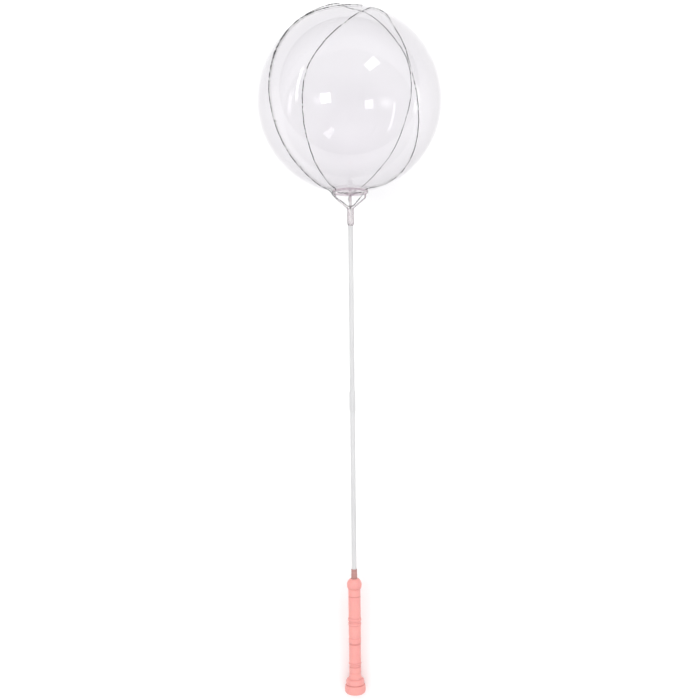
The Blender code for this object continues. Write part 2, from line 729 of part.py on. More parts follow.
def main():
    """Builds the balloon."""
    clear_scene()
    collection = new_collection("bubble_balloon")
    cutters = new_collection("cutters")
    root = add_object("balloon_axis", None, collection)
    milky = new_material("milky_plastic", (0.70, 0.70, 0.71), 0.35)
    coral = new_material("coral_plastic", (0.96, 0.40, 0.36), 0.4)
    bubble = build_bubble(collection, root)
    build_cup(collection, cutters, root)
    build_tube("upper_tube", UPPER_TUBE_BASE, collection, root, milky)
    build_coupler(collection, root, milky)
    build_tube("lower_tube", LOWER_TUBE_BASE, collection, root, milky)
    build_ferrule(collection, root)
    build_collar(collection, cutters, root, coral)
    build_grip(collection, root, coral)
    cap = build_end_cap(collection, cutters, root, coral)
    string = build_string(collection, root)
    lay_down(root)
    floor = floor_cutter(cutters)
    cut(bubble, floor)
    cut(cap, floor)
    centre_lengthways(root, (bubble, cap, string))


if __name__ == "__main__":
    main()
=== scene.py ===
"""Looks for a clear bubble balloon that lies on a pale floor.

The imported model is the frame. Every piece here stands for one of its nodes and stays where that
node is. Pieces are drawn along the balloon's own axis, whose +Z runs from the end cap up to the
bubble and whose -Y is the front, and are then laid down with it. Units are metres.
"""

import json
import logging
import math
from abc import ABC, abstractmethod
from dataclasses import dataclass, field
from enum import Enum

import bmesh
import bpy
from mathutils import Matrix, Vector
from mathutils.geometry import interpolate_bezier


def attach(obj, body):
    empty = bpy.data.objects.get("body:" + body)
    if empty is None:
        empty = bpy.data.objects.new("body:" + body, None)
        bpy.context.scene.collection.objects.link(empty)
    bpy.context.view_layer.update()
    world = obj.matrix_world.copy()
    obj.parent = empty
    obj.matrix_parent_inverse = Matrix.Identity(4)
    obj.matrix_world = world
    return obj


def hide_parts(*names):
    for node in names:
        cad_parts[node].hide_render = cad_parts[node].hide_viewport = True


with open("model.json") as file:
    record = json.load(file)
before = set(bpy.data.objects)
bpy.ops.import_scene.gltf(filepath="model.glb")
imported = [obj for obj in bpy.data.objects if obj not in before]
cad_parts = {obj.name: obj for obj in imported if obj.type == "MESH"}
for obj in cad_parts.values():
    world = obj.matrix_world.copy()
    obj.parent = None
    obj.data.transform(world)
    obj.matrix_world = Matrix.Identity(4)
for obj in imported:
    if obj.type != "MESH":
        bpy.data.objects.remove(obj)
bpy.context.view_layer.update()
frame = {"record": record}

LOG = logging.getLogger("balloon")
MM = 0.001
WELD = 0.002 * MM
Profile = list[tuple[float, float]]


class Slot(Enum):
    """The record's material slots."""

    FILM = "clear_film"
    CLEAR = "clear_plastic"
    MILKY = "milky_plastic"
    DUSTY = "dusty_pink_plastic"
    CORAL = "coral_plastic"
    WIRE = "dark_wire"


class Ends(Enum):
    """How a turned profile ends."""

    ON_AXIS = "on the axis"
    LOOP = "back at its start, round a hollow"


@dataclass(frozen=True)
class Axis:
    """The balloon's axis as it lies: its foot and the way it points."""

    foot: tuple[float, float, float]
    along: tuple[float, float, float]

    @classmethod
    def from_record(cls, record: dict) -> "Axis":
        """Reads the axis from the mount on the end cap's flat end.

        Args:
            record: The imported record.

        Returns:
            The axis, from the end cap's end towards the bubble.
        """
        mount = next(m for m in record["mounts"] if m["name"] == "grip_end")
        return cls(tuple(mount["pos_m"]), tuple(-x for x in mount["axis"]))

    def matrix(self) -> Matrix:
        """Returns the turn and move from the axis frame to the frame of the model."""
        up = Vector(self.along).normalized()
        right = Vector((1.0, 0.0, 0.0))
        back = up.cross(right)
        turn = Matrix((right, back, up)).transposed().to_4x4()
        return Matrix.Translation(self.foot) @ turn


# Shapes


def rounded(profile: Profile, radius: float, steps: int = 3, ends: Ends = Ends.LOOP) -> Profile:
    """Rounds the corners of a profile.

    Args:
        profile: Points (radius, height).
        radius: How round each corner gets, where its sides are long enough.
        steps: Runs in each rounded corner.
        ends: A loop is rounded all round, and other profiles keep both ends.

    Returns:
        The finer profile.
    """
    fine: Profile = []
    last = len(profile) - 1
    for index, corner in enumerate(profile):
        if ends is Ends.ON_AXIS and index in (0, last):
            fine.append(corner)
            continue
        here = Vector(corner)
        back = Vector(profile[index - 1]) - here
        ahead = Vector(profile[(index + 1) % len(profile)]) - here
        bend = math.pi - back.angle(ahead)
        if bend < math.radians(7):
            fine.append(corner)
            continue
        reach = min(radius * math.tan(bend / 2), 0.45 * back.length, 0.45 * ahead.length)
        start = here + back.normalized() * reach
        end = here + ahead.normalized() * reach
        for step in range(steps + 1):
            t = step / steps
            point = (1 - t) ** 2 * start + 2 * t * (1 - t) * here + t * t * end
            fine.append((point.x, point.y))
    return fine


def arc(centre: tuple[float, float], radii: tuple[float, float], start: float, end: float,
        count: int) -> Profile:
    """Reads points along an ellipse's arc.

    Args:
        centre: Its centre as (radius, height).
        radii: Its reach outward and upward.
        start: First angle in degrees, from straight out.
        end: Last angle in degrees.
        count: Runs between the first point and the last.

    Returns:
        The points.
    """
    angles = [math.radians(start + (end - start) * i / count) for i in range(count + 1)]
    return [(centre[0] + radii[0] * math.cos(a), centre[1] + radii[1] * math.sin(a)) for a in angles]


def spaced(profile: Profile, ends: Ends, near: float = 0.8 * MM, reach: float = 4 * MM) -> Profile:
    """Adds points near the ends of a profile's long runs, so that the painted shade of the crevices
    stays close to them.

    Args:
        profile: Points (radius, height).
        ends: Whether the profile is a loop.
        near: The first added point's distance from a corner.
        reach: The last one's.

    Returns:
        The same outline with more points.
    """
    steps = (near, 2.2 * near, reach)
    fine: Profile = []
    following = profile[1:] + (profile[:1] if ends is Ends.LOOP else [])
    for start, end in zip(profile, following):
        run = Vector(end) - Vector(start)
        fine.append(start)
        if run.length > 2 * reach + near:
            marks = [*steps, *(run.length - step for step in reversed(steps))]
        else:
            count = int(run.length / near)
            marks = [run.length * i / count for i in range(1, count)]
        for mark in marks:
            point = Vector(start) + run * (mark / run.length)
            fine.append((point.x, point.y))
    if ends is Ends.ON_AXIS:
        fine.append(profile[-1])
    return fine


def crevice_shading(profile: Profile, ends: Ends, spread: float = 0.9 * MM) -> list[float]:
    """Finds how much painted shade each point of a profile gets from the crevices near it.

    Args:
        profile: Points down the outer side.
        ends: Whether the profile is a loop.
        spread: How far the painted shade of the crevices reaches.

    Returns:
        A value for each point, from 0 on open runs to 1 at the bottom of sharp crevices.
    """
    count = len(profile)
    points = [Vector(p) for p in profile]
    bends = [0.0] * count
    for i in range(count):
        if ends is Ends.ON_AXIS and i in (0, count - 1):
            continue
        before = points[i] - points[i - 1]
        after = points[(i + 1) % count] - points[i]
        if before.length < 1e-9 or after.length < 1e-9:
            continue
        cross = before.x * after.y - before.y * after.x
        bends[i] = max(0.0, math.atan2(cross, before.dot(after)))
    shades = []
    for here in points:
        total = sum(
            bend * math.exp(-((here - other).length / spread))
            for bend, other in zip(bends, points)
            if bend > 0.02 and (here - other).length < 4 * spread
        )
        shades.append(min(1.0, total / 1.2))
    return shades


def turned(name: str, profile: Profile, sides: int, ends: Ends, seam: float = 0.0) -> bpy.types.Mesh:
    """Turns a profile round the axis.

    Args:
        name: The mesh's name.
        profile: Points (radius, height) down the outer side.
        sides: Runs round the axis.
        ends: Whether the profile closes on the axis or on itself.
        seam: How deep the mould's two parting lines are.

    Returns:
        The mesh, with each point's painted shade from nearby crevices in a point attribute.
    """
    shape = bmesh.new()
    # Painted shade for the crevices, carried by each point.
    depth = shape.verts.layers.float.new("crevice_shade")
    widest = max(radius for radius, _ in profile)
    rings = []
    for (radius, height), shade in zip(profile, crevice_shading(profile, ends)):
        if radius < WELD:
            ring = [shape.verts.new((0.0, 0.0, height))] * sides
        else:
            ring = []
            for side in range(sides):
                angle = 2 * math.pi * side / sides
                line = seam if side % (sides // 2) == 0 and radius > 0.6 * widest else 0.0
                out = radius - line
                ring.append(shape.verts.new((out * math.cos(angle), out * math.sin(angle), height)))
        for vertex in set(ring):
            vertex[depth] = shade
        rings.append(ring)
    pairs = list(zip(rings, rings[1:]))
    if ends is Ends.LOOP:
        pairs.append((rings[-1], rings[0]))
    for upper, lower in pairs:
        for side in range(sides):
            near = (side + 1) % sides
            corners = [upper[side], lower[side], lower[near], upper[near]]
            distinct = list(dict.fromkeys(corners))
            if len(distinct) > 2:
                shape.faces.new(distinct)
    bmesh.ops.recalc_face_normals(shape, faces=shape.faces)
    mesh = bpy.data.meshes.new(name)
    shape.to_mesh(mesh)
    shape.free()
    return mesh


def smooth_line(points: list[Vector], steps: int) -> list[Vector]:
    """Reads a smooth curve through points.

    Args:
        points: The points it goes through.
        steps: Runs between two of them.

    Returns:
        The curve's points, ends included.
    """
    ahead = points[1:] + points[-1:]
    behind = points[:1] + points[:-1]
    heading = [(after - before).normalized() for before, after in zip(behind, ahead)]
    line = []
    for index, (start, end) in enumerate(zip(points, points[1:])):
        reach = (end - start).length / 3
        leaving = start + reach * heading[index]
        arriving = end - reach * heading[index + 1]
        line += interpolate_bezier(start, leaving, arriving, end, steps + 1)[:-1]
    return line + points[-1:]


def add_object(name: str, mesh: bpy.types.Mesh) -> bpy.types.Object:
    """Links a new object for a mesh.

    Args:
        name: The object's name.
        mesh: Its mesh.

    Returns:
        The object, at the origin.
    """
    thing = bpy.data.objects.new(name, mesh)
    bpy.context.scene.collection.objects.link(thing)
    return thing


def baked(thing: bpy.types.Object, name: str) -> bpy.types.Mesh:
    """Makes a plain mesh of an object as its modifiers show it, and takes the object away.

    Args:
        thing: The object with its modifiers.
        name: The new mesh's name.

    Returns:
        The plain mesh.
    """
    bpy.context.view_layer.update()
    graph = bpy.context.evaluated_depsgraph_get()
    mesh = bpy.data.meshes.new_from_object(thing.evaluated_get(graph))
    bpy.data.objects.remove(thing, do_unlink=True)
    mesh.name = name
    return mesh


def joined(name: str, base: bpy.types.Mesh, others: list[bpy.types.Mesh], how: str) -> bpy.types.Mesh:
    """Joins or cuts solids with exact Booleans.

    Args:
        name: The result's name.
        base: The solid that is kept.
        others: The solids that join it or cut it.
        how: UNION or DIFFERENCE.

    Returns:
        The resulting mesh.
    """
    thing = add_object(name, base)
    tools = [add_object(f"{name}_{index}", mesh) for index, mesh in enumerate(others)]
    for tool in tools:
        boolean = thing.modifiers.new(tool.name, "BOOLEAN")
        boolean.operation = how
        boolean.solver = "EXACT"
        boolean.object = tool
    mesh = baked(thing, name)
    for tool in tools:
        bpy.data.objects.remove(tool, do_unlink=True)
    return mesh


def welded(mesh: bpy.types.Mesh) -> bpy.types.Mesh:
    """Merges what lies together after a Boolean and turns its faces out.

    Args:
        mesh: The mesh to tidy.

    Returns:
        The same mesh.
    """
    shape = bmesh.new()
    shape.from_mesh(mesh)
    bmesh.ops.remove_doubles(shape, verts=shape.verts, dist=WELD)
    bmesh.ops.dissolve_degenerate(shape, edges=shape.edges, dist=WELD)
    bmesh.ops.recalc_face_normals(shape, faces=shape.faces)
    shape.to_mesh(mesh)
    shape.free()
    return mesh


# Node trees that repeat a shape or follow a line


class Repeater:
    """A Geometry Nodes tree that is built in code, with named inputs."""

    def __init__(self, name: str) -> None:
        """Starts a tree.

        Args:
            name: The tree's name.
        """
        self.tree = bpy.data.node_groups.new(name, "GeometryNodeTree")
        self.values: dict[str, object] = {}
        self.tree.interface.new_socket("Geometry", in_out="INPUT", socket_type="NodeSocketGeometry")
        self.tree.interface.new_socket("Geometry", in_out="OUTPUT", socket_type="NodeSocketGeometry")
        self.source = self.tree.nodes.new("NodeGroupInput")
        self.result = self.tree.nodes.new("NodeGroupOutput")

    def input(self, name: str, kind: str, value: object) -> bpy.types.NodeSocket:
        """Adds a named input.

        Args:
            name: Its name.
            kind: Float, Int, Object or Material.
            value: What the modifier sets it to.

        Returns:
            The socket that gives its value in the tree.
        """
        item = self.tree.interface.new_socket(
            name, in_out="INPUT", socket_type=f"NodeSocket{kind}"
        )
        self.values[item.identifier] = value
        return self.source.outputs[name]

    def add(self, kind: str, inputs: dict | None = None, **settings: object) -> bpy.types.Node:
        """Adds a node, sets it and joins its inputs.

        Args:
            kind: The node's type.
            inputs: For each input's name or number, a socket to join or a value to set.
            settings: The node's own settings.

        Returns:
            The node.
        """
        node = self.tree.nodes.new(kind)
        for key, value in settings.items():
            setattr(node, key, value)
        for key, value in (inputs or {}).items():
            if isinstance(value, bpy.types.NodeSocket):
                self.tree.links.new(value, node.inputs[key])
            else:
                node.inputs[key].default_value = value
        return node

    def math(self, operation: str, first: object, second: object = 0.0) -> bpy.types.NodeSocket:
        """Adds a sum of two numbers.

        Args:
            operation: The Math node's operation.
            first: Its first number or socket.
            second: Its second number or socket.

        Returns:
            The result's socket.
        """
        return self.add("ShaderNodeMath", {0: first, 1: second}, operation=operation).outputs[0]

    def vector(self, operation: str, **inputs: object) -> bpy.types.NodeSocket:
        """Adds a Vector Math node.

        Args:
            operation: Its operation.
            inputs: The inputs a, b and scale, as sockets or values.

        Returns:
            The result's socket.
        """
        places = {"a": 0, "b": 1, "scale": 3}
        named = {places[key]: value for key, value in inputs.items()}
        return self.add("ShaderNodeVectorMath", named, operation=operation).outputs[0]

    def end(self, instances: bpy.types.NodeSocket, finish: bpy.types.NodeSocket) -> None:
        """Ends the tree in real geometry with one material.

        Args:
            instances: What the tree has made.
            finish: The input that gives the material.
        """
        real = self.add("GeometryNodeRealizeInstances", {0: instances})
        smooth = self.add("GeometryNodeSetShadeSmooth", {0: real.outputs[0]})
        dressed = self.add(
            "GeometryNodeSetMaterial", {"Geometry": smooth.outputs[0], "Material": finish}
        )
        self.tree.links.new(dressed.outputs[0], self.result.inputs[0])

    def run(self, name: str, base: bpy.types.Mesh) -> bpy.types.Mesh:
        """Runs the tree on a mesh.

        Args:
            name: The new mesh's name.
            base: What the tree starts from.

        Returns:
            The plain mesh that it makes.
        """
        thing = add_object(name, base)
        modifier = thing.modifiers.new(name, "NODES")
        modifier.node_group = self.tree
        for identifier, value in self.values.items():
            modifier[identifier] = value
        return baked(thing, name)


def round_the_axis(name: str, part: bpy.types.Mesh, count: int, first: float, out: float = 0.0,
                   height: float = 0.0) -> bpy.types.Mesh:
    """Repeats a mesh round the axis.

    Args:
        name: The result's name.
        part: The mesh that is repeated, drawn towards +X.
        count: How many there are.
        first: The first one's angle in radians.
        out: How far each is moved out from the axis.
        height: How far each is moved up.

    Returns:
        All of them in one mesh.
    """
    repeater = Repeater(name)
    one = add_object(f"{name}_one", part)
    number = repeater.input("Count", "Int", count)
    start = repeater.input("First Angle", "Float", first)
    reach = repeater.input("Out", "Float", out)
    rise = repeater.input("Height", "Float", height)
    shape = repeater.input("Part", "Object", one)
    finish = repeater.input("Material", "Material", part.materials[0] if part.materials else None)
    index = repeater.add("GeometryNodeInputIndex").outputs[0]
    share = repeater.math("DIVIDE", index, number)
    angle = repeater.math("ADD", repeater.math("MULTIPLY", share, 2 * math.pi), start)
    across = repeater.math("MULTIPLY", repeater.math("COSINE", angle), reach)
    aside = repeater.math("MULTIPLY", repeater.math("SINE", angle), reach)
    place = repeater.add("ShaderNodeCombineXYZ", {"X": across, "Y": aside, "Z": rise})
    turn = repeater.add("ShaderNodeCombineXYZ", {"Z": angle})
    points = repeater.add("GeometryNodePoints", {"Count": number, "Position": place.outputs[0]})
    look = repeater.add("GeometryNodeObjectInfo", {"Object": shape})
    copies = repeater.add(
        "GeometryNodeInstanceOnPoints",
        {
            "Points": points.outputs[0],
            "Instance": look.outputs["Geometry"],
            "Rotation": turn.outputs[0],
        },
    )
    repeater.end(copies.outputs[0], finish)
    mesh = repeater.run(name, bpy.data.meshes.new(name))
    bpy.data.objects.remove(one, do_unlink=True)
    return mesh


# Finishes


class Painter:
    """A material's node tree, with short ways to lay patterns on it."""

    def __init__(self, name: str) -> None:
        """Starts a material.

        Args:
            name: The material's name.
        """
        self.material = bpy.data.materials.new(name)
        self.material.use_nodes = True
        self.nodes = self.material.node_tree.nodes
        self.links = self.material.node_tree.links
        self.shader = self.nodes["Principled BSDF"]

    def plain(self, **values: float) -> None:
        """Sets the shader's own sockets, whose names have _ for each space.

        Args:
            values: A value for each socket.
        """
        for name, value in values.items():
            self.shader.inputs[name.replace("_", " ")].default_value = value

    def place(self, scale: tuple[float, float, float], turn: float = 0.0) -> bpy.types.NodeSocket:
        """Reads where a point lies on the object.

        Args:
            scale: Stretches the pattern along each direction.
            turn: Turns it about X, in radians, to follow the balloon's slope.

        Returns:
            The coordinates' socket.
        """
        where = self.nodes.new("ShaderNodeTexCoord")
        mapping = self.nodes.new("ShaderNodeMapping")
        mapping.inputs["Rotation"].default_value = (turn, 0.0, 0.0)
        mapping.inputs["Scale"].default_value = scale
        self.links.new(where.outputs["Object"], mapping.inputs["Vector"])
        return mapping.outputs["Vector"]

    def noise(self, where: bpy.types.NodeSocket, scale: float, detail: float = 2.0,
              roughness: float = 0.5) -> bpy.types.NodeSocket:
        """Adds a noise pattern.

        Args:
            where: The coordinates.
            scale: How fine it is.
            detail: Its finer layers.
            roughness: How strong they are.

        Returns:
            The pattern's socket, from 0 to 1.
        """
        node = self.nodes.new("ShaderNodeTexNoise")
        node.inputs["Scale"].default_value = scale
        node.inputs["Detail"].default_value = detail
        node.inputs["Roughness"].default_value = roughness
        self.links.new(where, node.inputs["Vector"])
        return node.outputs["Fac"]

    def attribute(self, name: str) -> bpy.types.NodeSocket:
        """Reads a value that the mesh carries.

        Args:
            name: The attribute's name.

        Returns:
            Its socket.
        """
        node = self.nodes.new("ShaderNodeAttribute")
        node.attribute_name = name
        return node.outputs["Fac"]

    def facing(self) -> bpy.types.NodeSocket:
        """Reads how far glass is seen edge on, from 0 to 1."""
        node = self.nodes.new("ShaderNodeLayerWeight")
        return node.outputs["Facing"]

    def range(self, value: bpy.types.NodeSocket, low: float, high: float, new_low: float,
              new_high: float) -> bpy.types.NodeSocket:
        """Maps one range of values to another.

        Args:
            value: The value.
            low: The range's start.
            high: The range's end.
            new_low: What the start becomes.
            new_high: What the end becomes.

        Returns:
            The new value's socket.
        """
        node = self.nodes.new("ShaderNodeMapRange")
        for index, number in enumerate((low, high, new_low, new_high), start=1):
            node.inputs[index].default_value = number
        self.links.new(value, node.inputs[0])
        return node.outputs[0]

    def mix(self, share: bpy.types.NodeSocket, first: object, second: object) -> bpy.types.NodeSocket:
        """Blends two colours.

        Args:
            share: How much of the second shows.
            first: A colour or its socket.
            second: A colour or its socket.

        Returns:
            The blend's socket.
        """
        node = self.nodes.new("ShaderNodeMix")
        node.data_type = "RGBA"
        self.links.new(share, node.inputs["Factor"])
        for name, colour in (("A", first), ("B", second)):
            socket = next(s for s in node.inputs if s.name == name and s.type == "RGBA")
            if isinstance(colour, bpy.types.NodeSocket):
                self.links.new(colour, socket)
            else:
                socket.default_value = (*colour, 1.0)
        return next(s for s in node.outputs if s.type == "RGBA")

    def colour(self, value: bpy.types.NodeSocket) -> None:
        """Joins a colour to the shader."""
        self.links.new(value, self.shader.inputs["Base Color"])

    def gloss(self, value: bpy.types.NodeSocket) -> None:
        """Joins a roughness to the shader."""
        self.links.new(value, self.shader.inputs["Roughness"])

    def bump(self, *layers: tuple[bpy.types.NodeSocket, float, float]) -> None:
        """Lays bump patterns over each other.

        Args:
            layers: The height, strength and distance of each.
        """
        below = None
        for height, strength, distance in layers:
            node = self.nodes.new("ShaderNodeBump")
            node.inputs["Strength"].default_value = strength
            node.inputs["Distance"].default_value = distance
            self.links.new(height, node.inputs["Height"])
            if below is not None:
                self.links.new(below, node.inputs["Normal"])
            below = node.outputs["Normal"]
        self.links.new(below, self.shader.inputs["Normal"])
        self.links.new(below, self.shader.inputs["Coat Normal"])


@dataclass(frozen=True)
class Finish(ABC):
    """What a surface looks like."""

    name: str

    @abstractmethod
    def paint(self, painter: Painter) -> None:
        """Sets up the shader.

        Args:
            painter: The material to paint.
        """

    def material(self) -> bpy.types.Material:
        """Returns the finish as a material, made once."""
        made = bpy.data.materials.get(self.name)
        if made is None:
            painter = Painter(self.name)
            self.paint(painter)
            made = painter.material
        return made


@dataclass(frozen=True)
class StretchedFilm(Finish):
    """Thin clear stretched film, faintly lavender, with painted shade over its upper part, mauve in the
    cup.
    """

    name: str = "stretched_clear_film"
    thin: tuple[float, float, float] = (0.945, 0.932, 0.950)
    thick: tuple[float, float, float] = (0.915, 0.898, 0.922)
    # painted shade over the film's upper part
    crown_shade: tuple[float, float, float] = (0.80, 0.785, 0.81)
    # darker film where it is seen edge on: partly the longer path through it, partly painted shade
    edge_on_density_and_shade: tuple[float, float, float] = (0.72, 0.705, 0.725)
    gathered: tuple[float, float, float] = (0.81, 0.745, 0.78)
    side_darkening_from: float = 0.26
    side_darkening_full: float = 0.74
    rim_from: float = 0.72
    rim_full: float = 0.95
    rim_share: float = 0.85

    def paint(self, painter: Painter) -> None:
        """Paints the film: too thin to bend light, darker towards its sides (partly its longer path,
        partly painted shade), with painted shade over its upper part, clear at its rim.
        """
        painter.plain(
            Roughness=0.0, IOR=1.01, Transmission_Weight=1.0, Coat_Weight=1.0, Coat_Roughness=0.02,
            Coat_IOR=1.58,
        )
        where = painter.place((1.0, 1.0, 1.0))
        cloud = painter.range(painter.noise(where, 5.0, 2.0), 0.35, 0.65, 0.0, 1.0)
        clear = painter.mix(cloud, self.thin, self.thick)
        # Painted shade: the film darkens towards its top.
        clear = painter.mix(painter.attribute("crown_shade"), clear, self.crown_shade)
        # Darker towards the sides where the film is seen edge on: partly the longer path through the
        # film, partly painted shade.
        facing = painter.facing()
        side = painter.range(facing, self.side_darkening_from, self.side_darkening_full, 0.0, 1.0)
        clear = painter.mix(side, clear, self.edge_on_density_and_shade)
        rim = painter.range(facing, self.rim_from, self.rim_full, 0.0, self.rim_share)
        clear = painter.mix(rim, clear, self.thin)
        painter.colour(painter.mix(painter.attribute("gather"), clear, self.gathered))
        painter.bump((painter.noise(where, 9.0, 1.0), 0.12, 0.0004))


@dataclass(frozen=True)
class ClearPlastic(Finish):
    """Clear moulded plastic: painted shade where it is seen edge on, pinkish grey in its ring, with
    faint flow marks.
    """

    name: str = "clear_moulded_plastic"
    clear: tuple[float, float, float] = (0.985, 0.965, 0.972)
    cloudy: tuple[float, float, float] = (0.94, 0.915, 0.925)
    # the colour of the painted shade on walls seen edge on
    edge: tuple[float, float, float] = (0.24, 0.20, 0.215)
    ring: tuple[float, float, float] = (0.74, 0.66, 0.70)
    edge_shade_from: float = 0.08
    edge_shade_full: float = 0.38

    def paint(self, painter: Painter) -> None:
        """Paints the plastic: see-through, with painted shade where it is seen edge on, flow marks
        along it.
        """
        painter.plain(Roughness=0.05, IOR=1.46, Transmission_Weight=1.0)
        where = painter.place((1.0, 0.35, 1.0))
        flow = painter.noise(where, 160.0, 3.0)
        body = painter.mix(painter.range(flow, 0.3, 0.7, 0.0, 1.0), self.clear, self.cloudy)
        # Painted shade: the walls darken where they are seen edge on.
        side = painter.range(painter.facing(), self.edge_shade_from, self.edge_shade_full, 0.0, 1.0)
        body = painter.mix(side, body, self.edge)
        painter.colour(painter.mix(painter.attribute("ring"), body, self.ring))
        painter.bump((flow, 0.10, 0.0003))


@dataclass(frozen=True)
class MilkyPlastic(Finish):
    """Milky extruded plastic with faint draw lines along it."""

    name: str = "milky_extruded_plastic"
    pale: tuple[float, float, float] = (0.88, 0.88, 0.88)
    grey: tuple[float, float, float] = (0.82, 0.82, 0.825)
    slope: float = 0.138

    def paint(self, painter: Painter) -> None:
        """Paints the plastic: satin, half see-through, drawn lengthways."""
        painter.plain(IOR=1.47, Transmission_Weight=0.30)
        lines = painter.noise(painter.place((1.0, 0.012, 1.0), self.slope), 900.0, 3.0)
        cloud = painter.noise(painter.place((1.0, 0.25, 1.0), self.slope), 60.0, 2.0)
        painter.colour(painter.mix(painter.range(cloud, 0.3, 0.7, 0.0, 1.0), self.pale, self.grey))
        painter.gloss(painter.range(lines, 0.3, 0.7, 0.30, 0.40))
        painter.bump((lines, 0.25, 0.0001))


@dataclass(frozen=True)
class MouldedPlastic(Finish):
    """Opaque moulded plastic: fine grain, a soft mottle and painted shade in its crevices and notches.
    """

    name: str
    body: tuple[float, float, float]
    mottle: tuple[float, float, float]
    # the colour of the painted shade in crevices and notches
    crevice_shade: tuple[float, float, float]
    roughness: float
    bleed: float = 0.0

    def paint(self, painter: Painter) -> None:
        """Paints the plastic, with a light bleed under its skin."""
        painter.plain(
            IOR=1.47, Specular_IOR_Level=0.22, Subsurface_Weight=self.bleed, Subsurface_Scale=0.002,
            Coat_Weight=0.05, Coat_Roughness=0.2,
        )
        where = painter.place((1.0, 1.0, 1.0))
        cloud = painter.range(painter.noise(where, 70.0, 3.0), 0.3, 0.7, 0.0, 1.0)
        skin = painter.mix(cloud, self.body, self.mottle)
        # Painted shade: darker colour in the crevices and notches.
        hollow = painter.range(painter.attribute("crevice_shade"), 0.1, 1.4, 0.0, 1.0)
        painter.colour(painter.mix(hollow, skin, self.crevice_shade))
        grain = painter.noise(where, 1400.0, 2.0)
        painter.gloss(
            painter.range(painter.noise(where, 240.0, 3.0), 0.3, 0.7, self.roughness - 0.06,
                          self.roughness + 0.06)
        )
        painter.bump((grain, 0.18, 0.0001), (painter.noise(where, 120.0, 1.0), 0.10, 0.0005))


@dataclass(frozen=True)
class EnamelledWire(Finish):
    """Thin wire under dark enamel, with painted highlights in pale dashes and patches and along one
    stretch, and a pale lead inside the pole.
    """

    name: str = "dark_enamelled_wire"
    enamel: tuple[float, float, float] = (0.018, 0.017, 0.019)
    # small lighter spots in the enamel
    wear_and_highlight: tuple[float, float, float] = (0.09, 0.075, 0.07)
    # colours of the painted highlights on the wire
    glint_grey: tuple[float, float, float] = (0.50, 0.49, 0.50)
    glint_white: tuple[float, float, float] = (0.66, 0.65, 0.66)
    pale: tuple[float, float, float] = (0.84, 0.83, 0.83)

    def paint(self, painter: Painter) -> None:
        """Paints the enamel, with painted highlights as pale dashes and patches along the wire."""
        painter.plain(Metallic=0.1, IOR=1.5)
        where = painter.place((1.0, 1.0, 1.0))
        spots = painter.range(painter.noise(where, 420.0, 3.0), 0.55, 0.75, 0.0, 1.0)
        dark = painter.mix(spots, self.enamel, self.wear_and_highlight)
        # Painted highlights: pale patches and dashes along the wire.
        glint_patches = painter.range(painter.noise(where, 38.0, 2.0), 0.54, 0.60, 0.0, 0.85)
        glint_dashes = painter.range(painter.noise(where, 105.0, 1.0), 0.59, 0.64, 0.0, 0.9)
        dark = painter.mix(glint_dashes, painter.mix(glint_patches, dark, self.glint_grey), self.glint_white)
        # Painted highlight along one stretch of the wire.
        dark = painter.mix(painter.attribute("painted_highlight_run"), dark, self.glint_white)
        painter.colour(painter.mix(painter.attribute("lead"), dark, self.pale))
        painter.gloss(painter.range(painter.noise(where, 800.0, 2.0), 0.3, 0.7, 0.28, 0.46))
        painter.bump((painter.noise(where, 1500.0, 2.0), 0.2, 0.0001))


@dataclass(frozen=True)
class CloudyResin(Finish):
    """The resin drops on the wire: cloudy white, half see-through."""

    name: str = "cloudy_resin"
    smoky: tuple[float, float, float] = (0.90, 0.89, 0.88)
    light: tuple[float, float, float] = (0.97, 0.97, 0.96)

    def paint(self, painter: Painter) -> None:
        """Paints the resin: half see-through, glossy, a little uneven."""
        painter.plain(Roughness=0.10, IOR=1.45, Transmission_Weight=0.55)
        where = painter.place((1.0, 1.0, 1.0))
        cloud = painter.range(painter.noise(where, 500.0, 2.0), 0.35, 0.7, 0.0, 1.0)
        painter.colour(painter.mix(cloud, self.smoky, self.light))
        painter.bump((painter.noise(where, 600.0, 2.0), 0.15, 0.0002))


@dataclass(frozen=True)
class PaleChip(Finish):
    """The tiny pale lamps inside the drops."""

    name: str = "pale_chip"
    cream: tuple[float, float, float] = (0.90, 0.80, 0.45)
    white: tuple[float, float, float] = (0.88, 0.86, 0.78)

    def paint(self, painter: Painter) -> None:
        """Paints the chips: matt cream with a paler bloom."""
        painter.plain(IOR=1.5)
        where = painter.place((1.0, 1.0, 1.0))
        bloom = painter.noise(where, 900.0, 2.0)
        painter.colour(painter.mix(bloom, self.cream, self.white))
        painter.gloss(painter.range(bloom, 0.3, 0.7, 0.4, 0.6))
        painter.bump((bloom, 0.2, 0.0001))


@dataclass(frozen=True)
class PaleFloor(Finish):
    """A plain matt pale floor."""

    name: str = "pale_floor"
    pale: tuple[float, float, float] = (0.95, 0.95, 0.95)
    paler: tuple[float, float, float] = (0.97, 0.97, 0.97)

    def paint(self, painter: Painter) -> None:
        """Paints the floor, almost without a pattern."""
        painter.plain(Roughness=0.9, Specular_IOR_Level=0.0)
        where = painter.place((1.0, 1.0, 1.0))
        painter.colour(painter.mix(painter.noise(where, 3.0, 2.0), self.pale, self.paler))


CORAL = MouldedPlastic(
    "coral_moulded_plastic", (0.88, 0.385, 0.35), (0.85, 0.355, 0.33), (0.54, 0.18, 0.165), 0.38, 0.06
)
DUSTY = MouldedPlastic(
    "dusty_pink_moulded_plastic", (0.52, 0.28, 0.26), (0.46, 0.245, 0.225), (0.30, 0.15, 0.14), 0.45
)


# Pieces


@dataclass
class Stations:
    """Heights along the axis that several pieces share."""

    grip_base: float = 0.042
    collar_base: float = 0.208
    ferrule_base: float = 0.215
    lower_tube_base: float = 0.232
    joint: float = 0.583
    upper_tube_base: float = 0.584
    stem_mouth: float = 0.9683
    bubble_centre: float = 1.18231


